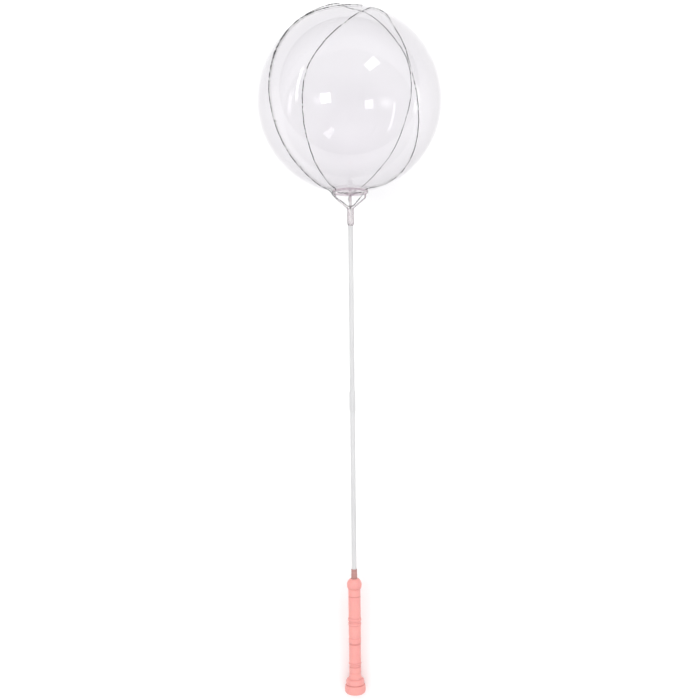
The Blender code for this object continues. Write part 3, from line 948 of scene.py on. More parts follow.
@dataclass
class SubAssembly(ABC):
    """One or more pieces that are built along the axis and laid down with it."""

    axis: Axis

    @abstractmethod
    def build(self) -> list[bpy.types.Object]:
        """Builds and dresses the pieces."""

    def hand_over(self, name: str, mesh: bpy.types.Mesh, finish: Finish, slot: Slot,
                  node: str | None = None, station: float = 0.0,
                  crease: float = 35.0) -> bpy.types.Object:
        """Lays a mesh down, dresses it and hands it over as a piece.

        Args:
            name: The piece's name.
            mesh: Its mesh, drawn from its own station.
            finish: Its finish.
            slot: The record's slot; it is not used.
            node: The CAD node that it stands for.
            station: How far along the axis it is.
            crease: Edges sharper than this many degrees stay sharp.

        Returns:
            The piece.
        """
        mesh.transform(self.axis.matrix() @ Matrix.Translation((0.0, 0.0, station)))
        mesh.materials.clear()
        mesh.materials.append(finish.material())
        mesh.shade_smooth()
        mesh.set_sharp_from_angle(angle=math.radians(crease))
        piece = add_object(name, mesh)
        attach(piece, "root")
        if node:
            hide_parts(node)
        LOG.info("%s: %d faces, stands for %s", name, len(mesh.polygons), node)
        return piece


@dataclass
class Bubble(SubAssembly):
    """The film bubble with its gathered neck."""

    centre: float = Stations.bubble_centre
    radius: float = 183.85 * MM
    depth: float = 179.85 * MM
    shoulder: float = 12 * MM
    neck_radius: float = 2.2 * MM
    neck_length: float = 17.9 * MM
    gather_reach: float = 35 * MM
    gather_blend: float = 4 * MM
    # Where the painted shade over the film's upper part starts and where it is full.
    crown_shade_from: float = -10 * MM
    crown_shade_full: float = 85 * MM
    pleats: int = 13
    pleat_height: float = 1.4 * MM
    pleat_drift: float = 0.7
    pleat_pinch: float = 0.22
    pleat_start: float = 6 * MM
    sag: float = 4.5 * MM
    sag_reach: float = 32 * MM
    sag_blend: float = 12 * MM
    pleat_reach: float = 30 * MM
    softness: float = 0.9 * MM
    sides: int = 156
    rings: int = 48

    def profile(self) -> Profile:
        """Returns the film's profile from its top down to the end of the neck."""
        gather = math.degrees(math.acos(self.shoulder / self.radius))
        points = arc((0, 0), (self.radius, self.radius), 90, 0, self.rings)
        points[0] = (0.0, self.radius)
        lower = arc((0, 0), (self.radius, self.depth), 0, -gather, self.rings)[1:]
        shoulder = Vector((*lower[-1], 0.0))
        neck = [
            shoulder,
            Vector((self.neck_radius * 2.4, -self.depth - self.neck_length * 0.10, 0.0)),
            Vector((self.neck_radius * 1.3, -self.depth - self.neck_length * 0.28, 0.0)),
            Vector((self.neck_radius, -self.depth - self.neck_length * 0.50, 0.0)),
            Vector((self.neck_radius * 1.2, -self.depth - self.neck_length, 0.0)),
        ]
        curved = [(p.x, p.y) for p in smooth_line(neck, 6)[1:]]
        end = -self.depth - self.neck_length
        return points + lower + curved + [(self.neck_radius * 0.6, end), (0.0, end)]

    def gathered(self, mesh: bpy.types.Mesh) -> None:
        """Lets the film sag into the cup and folds it into pleats that run in to the neck.

        Args:
            mesh: The turned film, drawn round its centre.
        """
        for vertex in mesh.vertices:
            out = math.hypot(vertex.co.x, vertex.co.y)
            if vertex.co.z > -0.8 * self.depth or out < WELD:
                continue
            angle = math.atan2(vertex.co.y, vertex.co.x)
            wave = math.cos(self.pleats * angle + self.pleat_drift * math.sin(3 * angle + 1.0))
            near = max(0.0, 1 - out / self.pleat_reach)
            fade = near * near * (3 - 2 * near)
            sink = min(1.0, max(0.0, (self.sag_reach - out) / self.sag_blend))
            down_neck = min(1.0, max(0.0, (-self.depth - vertex.co.z) / self.neck_length))
            in_neck = vertex.co.z < -self.depth - 0.2 * self.neck_length
            vertex.co.z -= self.sag * sink * sink * (3 - 2 * sink) * (1 - down_neck)
            if not in_neck:
                start = min(1, out / self.pleat_start)
                vertex.co.z += self.pleat_height * fade * start * wave
            pinch = 1 + self.pleat_pinch * wave * max(0.0, 1 - out / (3 * self.neck_radius))
            vertex.co.x *= pinch
            vertex.co.y *= pinch

    def tinted(self, mesh: bpy.types.Mesh) -> None:
        """Notes how far the film is gathered at its neck and how much painted shade its upper part
        gets.

        Args:
            mesh: The turned film, drawn round its centre.
        """
        mesh.attributes.new("gather", "FLOAT", "POINT")
        mesh.attributes.new("crown_shade", "FLOAT", "POINT")
        gather, crown_shade = mesh.attributes["gather"].data, mesh.attributes["crown_shade"].data
        for index, vertex in enumerate(mesh.vertices):
            out = math.hypot(vertex.co.x, vertex.co.y)
            inside = (self.gather_reach - out) / self.gather_blend if vertex.co.z < 0 else 0.0
            gather[index].value = min(1.0, max(0.0, inside))
            # Painted shade: darker towards the film's top.
            above = (vertex.co.z - self.crown_shade_from) / (self.crown_shade_full - self.crown_shade_from)
            crown_shade[index].value = min(1.0, max(0.0, above))

    def pressed(self, mesh: bpy.types.Mesh) -> None:
        """Presses the laid film softly flat where it meets the floor.

        Args:
            mesh: The film in the frame of the model.
        """
        for vertex in mesh.vertices:
            height = vertex.co.z
            if height < 8 * MM:
                vertex.co.z = (height + math.hypot(height, self.softness)) / 2

    def build(self) -> list[bpy.types.Object]:
        """Builds the film, drawn in at its neck and pressed on the floor."""
        film = turned("bubble_film", self.profile(), self.sides, Ends.ON_AXIS)
        self.gathered(film)
        self.tinted(film)
        film.transform(self.axis.matrix() @ Matrix.Translation((0.0, 0.0, self.centre)))
        self.pressed(film)
        film.transform(self.axis.matrix().inverted())
        return [
            self.hand_over("bubble_film", film, StretchedFilm(), Slot.FILM, "bubble", crease=60.0)
        ]


@dataclass
class Cup(SubAssembly):
    """The clear moulded cup: ring, three legs and stem in one."""

    mouth: float = Stations.stem_mouth
    ring_radius: float = 36 * MM
    ring_wall: float = 2.6 * MM
    ring_height: float = 4.8 * MM
    stem_radius: float = 6.7 * MM
    stem_length: float = 34 * MM
    stem_cone: float = 5 * MM
    stem_bore: float = 3.5 * MM
    tube_radius: float = 4.8 * MM
    spigot_radius: float = 3.5 * MM
    spigot_bore: float = 2.6 * MM
    spigot_length: float = 20 * MM
    depth: float = 34 * MM
    legs: int = 3
    leg_width: float = 5 * MM
    leg_thickness: float = 1.8 * MM
    leg_drop: float = 9 * MM
    leg_root: float = 5.4 * MM
    leg_bend: float = 7 * MM
    leg_squareness: float = 0.45
    leg_sides: int = 24
    tint_blend: float = 2 * MM
    first_leg: float = math.radians(30)

    def stem(self) -> bpy.types.Mesh:
        """Returns the stem with its bore and the spigot below it."""
        low = -self.stem_length
        profile = [
            (self.stem_radius, 0.0),
            (self.stem_radius, low + self.stem_cone),
            (self.tube_radius, low),
            (self.spigot_radius, low),
            (self.spigot_radius, low - self.spigot_length),
            (self.spigot_bore, low - self.spigot_length),
            (self.spigot_bore, low),
            (self.stem_bore, low + self.stem_cone),
            (self.stem_bore, 0.0),
        ]
        return turned("cup_stem", rounded(profile, 0.4 * MM, 3), 72, Ends.LOOP)

    def ring(self) -> bpy.types.Mesh:
        """Returns the ring, with rounded edges."""
        top = self.depth + self.ring_height / 2
        low = self.depth - self.ring_height / 2
        inner = self.ring_radius - self.ring_wall
        profile = [
            (self.ring_radius, top),
            (self.ring_radius, low),
            (inner, low),
            (inner, top),
        ]
        return turned("cup_ring", rounded(profile, 1.1 * MM, 5), 120, Ends.LOOP)

    def leg(self) -> bpy.types.Mesh:
        """Returns one leg: a bent strip with rounded edges, from the stem's wall to the ring."""
        middle = self.ring_radius - self.ring_wall / 2
        half = self.leg_thickness / 2
        foot = (self.stem_bore + self.stem_radius) / 2
        corners = [
            (foot, -self.leg_root),
            (foot + half, self.leg_thickness),
            (middle - half, self.depth - self.leg_drop - half),
            (middle, self.depth - self.leg_drop + half),
            (middle, self.depth),
        ]
        line = [Vector(p) for p in rounded(corners, self.leg_bend, 7, Ends.ON_AXIS)]
        shape = bmesh.new()
        rings = []
        for index, point in enumerate(line):
            before = line[max(index - 1, 0)]
            after = line[min(index + 1, len(line) - 1)]
            along = (after - before).normalized()
            aside = Vector((along.y, -along.x))
            ring = []
            for step in range(self.leg_sides):
                angle = 2 * math.pi * step / self.leg_sides
                across, up = math.cos(angle), math.sin(angle)
                wide = math.copysign(abs(across) ** self.leg_squareness, across)
                thick = math.copysign(abs(up) ** self.leg_squareness, up)
                place = point + aside * half * thick
                ring.append(shape.verts.new((place.x, wide * self.leg_width / 2, place.y)))
            rings.append(ring)
        for lower, upper in zip(rings, rings[1:]):
            for step in range(self.leg_sides):
                near = (step + 1) % self.leg_sides
                shape.faces.new((lower[step], lower[near], upper[near], upper[step]))
        shape.faces.new(rings[0])
        shape.faces.new(rings[-1])
        bmesh.ops.recalc_face_normals(shape, faces=shape.faces)
        mesh = bpy.data.meshes.new("cup_leg")
        shape.to_mesh(mesh)
        shape.free()
        return mesh

    def build(self) -> list[bpy.types.Object]:
        """Builds the cup as one see-through solid."""
        legs = round_the_axis("cup_legs", self.leg(), self.legs, self.first_leg)
        cup = welded(joined("balloon_cup_clear", self.stem(), [legs, self.ring()], "UNION"))
        ring = cup.attributes.new("ring", "FLOAT", "POINT")
        low = self.depth - self.ring_height / 2
        for vertex, item in zip(cup.vertices, ring.data):
            above = (vertex.co.z - low + self.tint_blend) / self.tint_blend
            item.value = min(1.0, max(0.0, above))
        return [
            self.hand_over(
                "balloon_cup_clear", cup, ClearPlastic(), Slot.CLEAR, "balloon_cup", self.mouth, 30.0
            )
        ]


@dataclass
class Pole(SubAssembly):
    """The two drawn tubes and the sleeve that joins them."""

    radius: float = 4.8 * MM
    wall: float = 1.0 * MM
    length: float = 350 * MM
    joint: float = Stations.joint
    coupler_length: float = 40 * MM
    coupler_radius: float = 6.1 * MM
    socket: float = 5.1 * MM
    stop: float = 1.4 * MM
    lip: float = 0.4 * MM

    def tube(self, name: str) -> bpy.types.Mesh:
        """Draws one tube from its lower end.

        Args:
            name: The mesh's name.

        Returns:
            The tube's mesh.
        """
        bore = self.radius - self.wall
        profile = [(self.radius, self.length), (self.radius, 0.0), (bore, 0.0), (bore, self.length)]
        return turned(name, rounded(profile, 0.25 * MM, 3), 64, Ends.LOOP)

    def coupler(self) -> bpy.types.Mesh:
        """Returns the sleeve with its stop rib, drawn from its middle."""
        half = self.coupler_length / 2
        bore = self.radius - self.wall
        profile = [
            (self.coupler_radius - self.lip, half),
            (self.coupler_radius, half - self.lip),
            (self.coupler_radius, -half + self.lip),
            (self.coupler_radius - self.lip, -half),
            (self.socket, -half),
            (self.socket, -self.stop / 2),
            (bore, -self.stop / 2),
            (bore, self.stop / 2),
            (self.socket, self.stop / 2),
            (self.socket, half),
        ]
        return turned("tube_coupler_milky", rounded(profile, 0.2 * MM, 3), 64, Ends.LOOP)

    def build(self) -> list[bpy.types.Object]:
        """Builds both tubes and the sleeve."""
        milky = MilkyPlastic()
        pieces = []
        for node, base in (
            ("lower_tube", Stations.lower_tube_base),
            ("upper_tube", Stations.upper_tube_base),
        ):
            name = f"{node}_milky"
            pieces.append(
                self.hand_over(name, self.tube(name), milky, Slot.MILKY, node, base)
            )
        pieces.append(
            self.hand_over(
                "tube_coupler_milky", self.coupler(), milky, Slot.MILKY, "tube_coupler", self.joint
            )
        )
        return pieces


@dataclass
class Handle(SubAssembly):
    """The grip with its ferrule, collar and bell-shaped end cap."""

    grip_base: float = Stations.grip_base
    grip_length: float = 166 * MM
    radius: float = 12.2 * MM
    low_radius: float = 11.8 * MM
    step: float = 74 * MM
    spigot: float = 6 * MM
    spigot_radius: float = 8 * MM
    lead_hole: float = 1.9 * MM
    lead_seat: float = 5 * MM
    bands: tuple[tuple[float, float, float], ...] = (
        (18 * MM, 3.5 * MM, 0.9 * MM),
        (64 * MM, 10 * MM, 0.5 * MM),
        (97 * MM, 5 * MM, 0.7 * MM),
        (106 * MM, 6 * MM, 1.0 * MM),
    )
    grooves: tuple[float, ...] = (12 * MM, 57 * MM, 152 * MM)
    groove_width: float = 1.2 * MM
    groove_depth: float = 0.5 * MM
    collar_base: float = Stations.collar_base
    collar_radius: float = 14.8 * MM
    collar_top_radius: float = 8.8 * MM
    collar_height: float = 21 * MM
    collar_skirt: float = 9 * MM
    collar_edge: float = 4 * MM
    collar_foot: float = 2.2 * MM
    collar_foot_radius: float = 13 * MM
    collar_notches: int = 16
    ferrule_base: float = Stations.ferrule_base
    ferrule_radius: float = 6.0 * MM
    ferrule_length: float = 33 * MM
    ferrule_shown: float = 19 * MM
    ferrule_step: float = 0.25 * MM
    ferrule_groove: tuple[float, float, float] = (3.2 * MM, 3.6 * MM, 4.0 * MM)
    ferrule_groove_depth: float = 0.45 * MM
    tube_seat: float = 16 * MM
    socket: float = 5.1 * MM
    cap_length: float = 42 * MM
    cap_notches: int = 12
    cap_notch_height: float = 2.1 * MM
    cap_neck_inset: float = 0.2 * MM
    cap_flare: tuple[float, float] = (3.8 * MM, 2.8 * MM)
    cap_tier: tuple[float, float, float] = (23 * MM, 2.9 * MM, 6.4 * MM)
    cap_step: tuple[float, float] = (19 * MM, 0.5 * MM)
    cap_rim: tuple[float, float, float] = (11 * MM, 2.7 * MM, 7.4 * MM)
    cap_foot: tuple[float, float] = (8.1 * MM, 7 * MM)
    cap_flare_start: float = 2 * MM
    cap_flare_drop: float = 31.5 * MM
    seam: float = 0.08 * MM
    notch: float = 2.0 * MM
    notch_depth: float = 0.9 * MM
    notch_rounding: float = 0.35 * MM
    notch_shade: float = 2.0
    fit: float = 0.3 * MM
    sides: int = 96

    def ferrule(self) -> bpy.types.Mesh:
        """Returns the sleeve that holds the foot of the pole, with a fine groove and a step."""
        seat = self.ferrule_length - self.tube_seat - self.fit
        top = self.ferrule_length
        middle = top - self.ferrule_shown / 2
        slim = self.ferrule_radius - self.ferrule_step
        above, deepest, below = self.ferrule_groove
        profile = [
            (slim, top),
            (slim, top - above),
            (self.ferrule_radius - self.ferrule_groove_depth, top - deepest),
            (slim, top - below),
            (slim, middle + self.ferrule_step),
            (self.ferrule_radius, middle - self.ferrule_step),
            (self.ferrule_radius, 0.0),
            (self.lead_hole, 0.0),
            (self.lead_hole, seat),
            (self.socket, seat),
            (self.socket, top),
        ]
        fine = spaced(rounded(profile, 0.2 * MM, 3), Ends.LOOP)
        return turned("tube_ferrule_dusty", fine, 64, Ends.LOOP)

    def notches(self, count: int, radius: float, height: float) -> bpy.types.Mesh:
        """Makes small rounded cutters round an edge.

        Args:
            count: How many there are.
            radius: The edge's radius.
            height: The edge's height.

        Returns:
            All the cutters in one mesh.
        """
        shape = bmesh.new()
        bmesh.ops.create_cube(shape, size=1.0)
        bmesh.ops.scale(shape, vec=(2 * self.notch_depth, self.notch, self.notch), verts=shape.verts)
        bmesh.ops.bevel(
            shape, geom=shape.edges, offset=self.notch_rounding, segments=2, affect="EDGES",
            profile=0.5,
        )
        # The cutters carry a strong painted shade, which the walls of the notches keep after the cut.
        depth = shape.verts.layers.float.new("crevice_shade")
        for vertex in shape.verts:
            vertex[depth] = self.notch_shade
        mesh = bpy.data.meshes.new("notch")
        shape.to_mesh(mesh)
        shape.free()
        return round_the_axis("notches", mesh, count, math.pi / 2 / count, radius, height)

    def collar(self) -> bpy.types.Mesh:
        """Returns the domed collar over the grip's top, with its notched edge."""
        socket = self.ferrule_radius + self.fit
        floor = self.ferrule_base - self.collar_base - self.fit
        recess = self.spigot_radius + self.fit
        rise = self.collar_height - self.collar_skirt
        sweep = math.degrees(math.acos(self.collar_top_radius / self.collar_radius))
        dome = rise / math.sin(math.radians(sweep))
        edge = self.collar_radius - 0.5 * MM
        profile = arc((0, self.collar_skirt), (self.collar_radius, dome), sweep, 0, 14)
        profile += [
            (edge, self.collar_edge),
            (self.collar_foot_radius, self.collar_foot),
            (self.collar_foot_radius, self.fit),
            (recess, self.fit),
            (recess, self.spigot + self.fit),
            (self.lead_hole, self.spigot + self.fit),
            (self.lead_hole, floor),
            (socket, floor),
            (socket, self.collar_height),
        ]
        fine = spaced(rounded(profile, 0.4 * MM, 3), Ends.LOOP)
        mesh = turned("grip_collar_coral", fine, self.sides, Ends.LOOP, self.seam)
        cutters = self.notches(self.collar_notches, edge, self.collar_edge)
        return joined("grip_collar_coral", mesh, [cutters], "DIFFERENCE")

    def marks(self) -> Profile:
        """Returns the points of the grip's rings, joint lines and step, from the top down."""
        marks = [(self.step, [(self.radius, self.step), (self.low_radius, self.step - 1.2 * MM)])]
        for height, width, rise in self.bands:
            plain = self.radius if height > self.step else self.low_radius
            high, low = height + width / 2, height - width / 2
            slope = min(rise, width / 4)
            marks.append((height, [
                (plain, high), (plain + rise, high - slope), (plain + rise, low + slope), (plain, low),
            ]))
        for height in self.grooves:
            plain = self.radius if height > self.step else self.low_radius
            half = self.groove_width / 2
            marks.append((height, [
                (plain, height + half), (plain - self.groove_depth, height), (plain, height - half),
            ]))
        marks.sort(key=lambda mark: mark[0], reverse=True)
        return [point for _, points in marks for point in points]

    def grip(self) -> bpy.types.Mesh:
        """Returns the long grip with its rings and joint lines."""
        top = self.grip_length + self.spigot
        seat = top - self.lead_seat - self.fit
        profile = [
            (0.0, seat),
            (self.lead_hole, seat),
            (self.lead_hole, top),
            (self.spigot_radius, top),
            (self.spigot_radius, self.grip_length),
            (self.radius, self.grip_length),
        ]
        profile += self.marks()
        profile += [
            (self.low_radius, 0.0),
            (self.spigot_radius, 0.0),
            (self.spigot_radius, -self.spigot),
            (0.0, -self.spigot),
        ]
        fine = spaced(rounded(profile, 0.45 * MM, 4, Ends.ON_AXIS), Ends.ON_AXIS)
        return turned("grip_coral", fine, self.sides, Ends.ON_AXIS, self.seam)

    def end_cap(self) -> bpy.types.Mesh:
        """Returns the stepped bell: neck, flare, tier and rim from the grip down."""
        top = self.cap_length - self.fit
        recess = self.spigot_radius + self.fit
        neck = self.low_radius - self.cap_neck_inset
        flare_out, tier_out = self.cap_flare
        tier_height, tier_round, tier_rise = self.cap_tier
        step_height, step_down = self.cap_step
        rim_height, rim_round, rim_rise = self.cap_rim
        foot_round, foot_rise = self.cap_foot
        flare = neck + flare_out
        tier = flare + tier_out
        rim = tier + rim_round
        foot = rim - foot_round
        profile = [
            (0.0, self.cap_length - self.spigot - self.fit),
            (recess, self.cap_length - self.spigot - self.fit),
            (recess, top),
            (neck, top),
        ]
        flare_rise = top - self.cap_flare_drop
        profile += arc((flare, top - self.cap_flare_start), (flare_out, flare_rise), 180, 270, 10)
        profile += arc((tier - tier_round, tier_height), (tier_round, tier_rise), 75, 0, 8)
        profile += [(tier, step_height), (tier - step_down, step_height - step_down)]
        profile += arc((rim - rim_round, rim_height), (rim_round, rim_rise), 75, 0, 8)
        profile += arc((foot, foot_rise), (foot_round, foot_rise), 0, -90, 12)
        profile += [(0.0, 0.0)]
        fine = spaced(rounded(profile, 0.4 * MM, 3, Ends.ON_AXIS), Ends.ON_AXIS)
        mesh = turned("grip_end_cap_coral", fine, self.sides, Ends.ON_AXIS, self.seam)
        height = self.cap_notch_height
        edge = foot + foot_round * math.sqrt(1 - (1 - height / foot_rise) ** 2)
        cutters = self.notches(self.cap_notches, edge, height)
        return joined("grip_end_cap_coral", mesh, [cutters], "DIFFERENCE")

    def rested(self, cap: bpy.types.Mesh) -> bpy.types.Mesh:
        """Cuts the small flat that the end cap rests on.

        Args:
            cap: The cap, drawn along the axis.

        Returns:
            The cut cap.
        """
        to_model = self.axis.matrix()
        cap.transform(to_model)
        shape = bmesh.new()
        bmesh.ops.create_cube(shape, size=1.0)
        bmesh.ops.translate(shape, vec=(0.0, -0.5, -0.5), verts=shape.verts)
        floor = bpy.data.meshes.new("floor_cut")
        shape.to_mesh(floor)
        shape.free()
        cut = joined("grip_end_cap_coral", cap, [floor], "DIFFERENCE")
        cut.transform(to_model.inverted())
        return cut

    def build(self) -> list[bpy.types.Object]:
        """Builds the ferrule, collar, grip and end cap."""
        return [
            self.hand_over(
                "tube_ferrule_dusty", self.ferrule(), DUSTY, Slot.DUSTY, "tube_ferrule",
                self.ferrule_base,
            ),
            self.hand_over(
                "grip_collar_coral", self.collar(), CORAL, Slot.CORAL, "grip_collar",
                self.collar_base,
            ),
            self.hand_over("grip_coral", self.grip(), CORAL, Slot.CORAL, "grip", self.grip_base),
            self.hand_over(
                "grip_end_cap_coral", self.rested(self.end_cap()), CORAL, Slot.CORAL, "grip_end_cap"
            ),
        ]


@dataclass
class LightString(SubAssembly):
    """The light string: a twisted pair of wires with a drop on it at each even step."""

    centre: float = Stations.bubble_centre
    mouth: float = Stations.stem_mouth
    radius: float = 184 * MM
    depth: float = 180 * MM
    ring_radius: float = 36 * MM
    ring_height: float = 34 * MM
    lead_foot: float = 209 * MM
    away: float = 1.45 * MM
    strand: float = 0.52 * MM
    gap: float = 0.86 * MM
    twist: float = 14 * MM
    strand_sides: int = 7
    runs_a_turn: float = 7.0
    drop_radius: float = 1.45 * MM
    drop_length: float = 5.9 * MM
    drop_pitch: float = 100 * MM
    drop_shape: tuple[tuple[float, float], ...] = (
        (0.90, 0.40), (0.68, 0.66), (0.40, 0.90), (0.08, 1.0), (-0.26, 0.95), (-0.58, 0.74),
        (-0.86, 0.44),
    )
    smallest_drop: float = 0.88
    drop_seed: int = 4
    tail: float = 6 * MM
    chip_rounding: float = 0.12 * MM
    chip_size: tuple[float, float, float] = (0.5 * MM, 1.2 * MM, 1.7 * MM)
    chip_out: float = 0.62 * MM
    beside_drop: float = 3.6 * MM
    lead_blend: float = 2 * MM
    # The stretch of wire, counted back from its free end, that gets a painted highlight.
    highlight_run_from: float = 545 * MM
    highlight_run_to: float = 225 * MM
    highlight_run_blend: float = 40 * MM
    kink: float = 2.0 * MM
    kink_every: float = 31.0
    kink_slant: float = 0.35
    kink_until: float = 70.0
    kink_fade: float = 15.0
    kink_waver: float = 0.15
    steps: int = 16

    def on_bubble(self, longitude: float, latitude: float) -> Vector:
        """Gives a point of the route over the film.

        Args:
            longitude: Degrees round the axis, with 0 at +X and -90 at the front.
            latitude: Degrees up from the bubble's middle.

        Returns:
            The point along the axis.
        """
        lon, lat = math.radians(longitude), math.radians(latitude)
        out = self.radius * math.cos(lat)
        depth = self.radius if latitude > 0 else self.depth
        return Vector((out * math.cos(lon), out * math.sin(lon), self.centre + depth * math.sin(lat)))

    def at_cup(self, azimuth: float, out: float, up: float) -> Vector:
        """Gives a point of the route beside the cup.

        Args:
            azimuth: Degrees round the axis.
            out: Distance from the axis, in millimetres.
            up: Height above the stem's mouth, in millimetres.

        Returns:
            The point along the axis.
        """
        angle = math.radians(azimuth)
        return Vector((out * MM * math.cos(angle), out * MM * math.sin(angle), self.mouth + up * MM))

    def route(self) -> list[Vector]:
        """Returns the route from the stem's mouth to the free end, point by point."""
        on, at = self.on_bubble, self.at_cup
        beside, ring = (self.ring_radius + 3 * MM) / MM, self.ring_height / MM
        second = math.degrees(self.beside_drop / self.radius)
        climb_back = [
            at(95, 0, -6), at(95, 2.5, 2.5), at(95, 13, 12), at(95, beside - 4, ring - 9),
            at(93, beside, ring - 1), on(90, -70), on(79, -56), on(66, -36), on(58, -22),
            on(51, -2), on(43, 18), on(36, 38), on(34, 60), on(29, 78), on(-178, 88.5),
            on(-112, 70), on(-127, 58),
        ]
        left = [
            (-138, 45), (-142, 31), (-143, 14), (-144, -4), (-144, -21), (-144, -40), (-147, -57),
        ]
        down_left = [on(lon - second / math.cos(math.radians(lat)), lat) for lon, lat in left]
        down_left += [
            on(-162, -71), at(186, beside, ring), at(188, beside - 4.5, ring - 8), at(203, 22, 16),
            at(212, 7, 5.5), at(270, 2.6, 4), at(328, 7, 6),
        ]
        up_right = [
            at(322, 24, 19), at(317, beside - 4, ring - 8), at(322, beside, ring), on(-22, -74),
            on(-13, -65), on(-24, -50), on(-38, -28), on(-46, -10), on(-52, 6), on(-55, 22),
            on(-57, 36), on(-55, 49), on(-62, 54),
        ]
        down_middle = [
            on(-76, 48), on(-92, 35), on(-105, 20), on(-115, 2), on(-120, -20), on(-122, -42),
            on(-126, -60), on(-134, -72), at(222, beside, ring + 1),
            at(219, beside - 0.5, ring - 6), at(211, beside - 1, ring - 9),
            at(203, beside - 0.5, ring - 6), at(201, beside, ring + 1), on(-154, -71),
        ]
        up_left = [on(lon, lat) for lon, lat in reversed(left)]
        up_left += [on(-126, 52), on(-110, 55), on(-92, 57), on(-74, 57)]
        return climb_back + down_left + up_right + down_middle + up_left

    def off_the_film(self, point: Vector) -> Vector:
        """Moves a point of the wire out, so that its drops just clear the film.

        Args:
            point: The point.

        Returns:
            The same point, or one further out.
        """
        middle = Vector((0.0, 0.0, self.centre))
        reach = point - middle
        depth = self.radius if reach.z > 0 else self.depth
        across = math.hypot(reach.x, reach.y) / (self.radius + self.away)
        share = math.hypot(across, reach.z / (depth + self.away))
        return middle + reach / share if share < 1 else point

    def kinked(self, point: Vector) -> Vector:
        """Shifts a point of the wire along the film, so that the wire lies in slightly bent runs.

        Args:
            point: The point.

        Returns:
            The shifted point. Strands that run side by side shift alike.
        """
        around = math.degrees(math.atan2(point.y, point.x))
        up = math.degrees(math.atan2(point.z - self.centre, math.hypot(point.x, point.y)))
        share = (up + self.kink_slant * around) / self.kink_every
        wave = 2 * abs(share % 2 - 1) - 1 + self.kink_waver * math.sin(0.8 * up)
        fade = min(1.0, max(0.0, (self.kink_until - abs(up)) / self.kink_fade))
        side = Vector((-point.y, point.x, 0.0)).normalized()
        return point + side * self.kink * wave * fade

    def line(self) -> tuple[list[Vector], float]:
        """Returns the whole line of the wire and how much of it is inside the pole."""
        foot = Vector((0.0, 0.0, self.lead_foot))
        smooth = smooth_line(self.route(), self.steps)
        outside = [self.off_the_film(self.kinked(point)) for point in smooth]
        return [foot] + outside, (outside[0] - foot).length

    def path_mesh(self, name: str) -> bpy.types.Mesh:
        """Draws the line as edges.

        Args:
            name: The mesh's name.

        Returns:
            The mesh of edges.
        """
        points, _ = self.line()
        mesh = bpy.data.meshes.new(name)
        mesh.from_pydata(points, [(i, i + 1) for i in range(len(points) - 1)], [])
        return mesh

    def wires(self) -> bpy.types.Mesh:
        """Returns the twisted pair, swept along the line."""
        repeater = Repeater("twisted_pair")
        strand = repeater.input("Strand Radius", "Float", self.strand)
        gap = repeater.input("Strand Gap", "Float", self.gap)
        pitch = repeater.input("Twist Pitch", "Float", self.twist)
        finish = repeater.input("Material", "Material", EnamelledWire().material())
        line = repeater.add("GeometryNodeMeshToCurve", {0: repeater.source.outputs[0]})
        even = repeater.add(
            "GeometryNodeResampleCurve",
            {"Curve": line.outputs[0], "Length": repeater.math("DIVIDE", pitch, self.runs_a_turn)},
            mode="LENGTH",
        )
        run = repeater.add("GeometryNodeSplineParameter").outputs["Length"]
        marked = repeater.add(
            "GeometryNodeStoreNamedAttribute",
            {"Geometry": even.outputs[0], "Name": "run", "Value": run},
            data_type="FLOAT",
            domain="POINT",
        )
        turns = repeater.math("DIVIDE", run, pitch)
        angle = repeater.math("MULTIPLY", turns, 2 * math.pi)
        normal = repeater.add("GeometryNodeInputNormal").outputs[0]
        tangent = repeater.add("GeometryNodeInputTangent").outputs[0]
        side = repeater.vector("CROSS_PRODUCT", a=tangent, b=normal)
        first = repeater.vector("SCALE", a=normal, scale=repeater.math("COSINE", angle))
        second = repeater.vector("SCALE", a=side, scale=repeater.math("SINE", angle))
        spoke = repeater.vector("ADD", a=first, b=second)
        ring = repeater.add(
            "GeometryNodeCurvePrimitiveCircle", {"Resolution": self.strand_sides, "Radius": strand}
        )
        both = repeater.add("GeometryNodeJoinGeometry")
        for way in (0.5, -0.5):
            shift = repeater.vector("SCALE", a=spoke, scale=repeater.math("MULTIPLY", gap, way))
            moved = repeater.add(
                "GeometryNodeSetPosition", {"Geometry": marked.outputs[0], "Offset": shift}
            )
            swept = repeater.add(
                "GeometryNodeCurveToMesh",
                {"Curve": moved.outputs[0], "Profile Curve": ring.outputs[0], "Fill Caps": True},
            )
            repeater.tree.links.new(swept.outputs[0], both.inputs[0])
        repeater.end(both.outputs[0], finish)
        mesh = repeater.run("string_wires", self.path_mesh("string_wires"))
        runs = [item.value for item in mesh.attributes["run"].data]
        mesh.attributes.remove(mesh.attributes["run"])
        lead = mesh.attributes.new("lead", "FLOAT", "POINT")
        for vertex, item in zip(mesh.vertices, lead.data):
            item.value = min(1.0, max(0.0, (self.mouth - vertex.co.z) / self.lead_blend))
        length = max(runs)
        # Painted highlight along one stretch of the wire, counted from its free end.
        wear_and_highlight = mesh.attributes.new("painted_highlight_run", "FLOAT", "POINT")
        for along, item in zip(runs, wear_and_highlight.data):
            left = length - along
            inside = min(self.highlight_run_from - left, left - self.highlight_run_to) / self.highlight_run_blend
            item.value = min(1.0, max(0.0, inside))
        return mesh

    def drop(self) -> bpy.types.Mesh:
        """Returns one resin drop: fuller at one side of its middle, drawn in at both ends."""
        half = self.drop_length / 2
        profile = [(0.0, half)]
        for share, width in self.drop_shape:
            profile.append((self.drop_radius * width, half * share))
        profile.append((0.0, -half))
        return turned("drop", profile, 12, Ends.ON_AXIS)

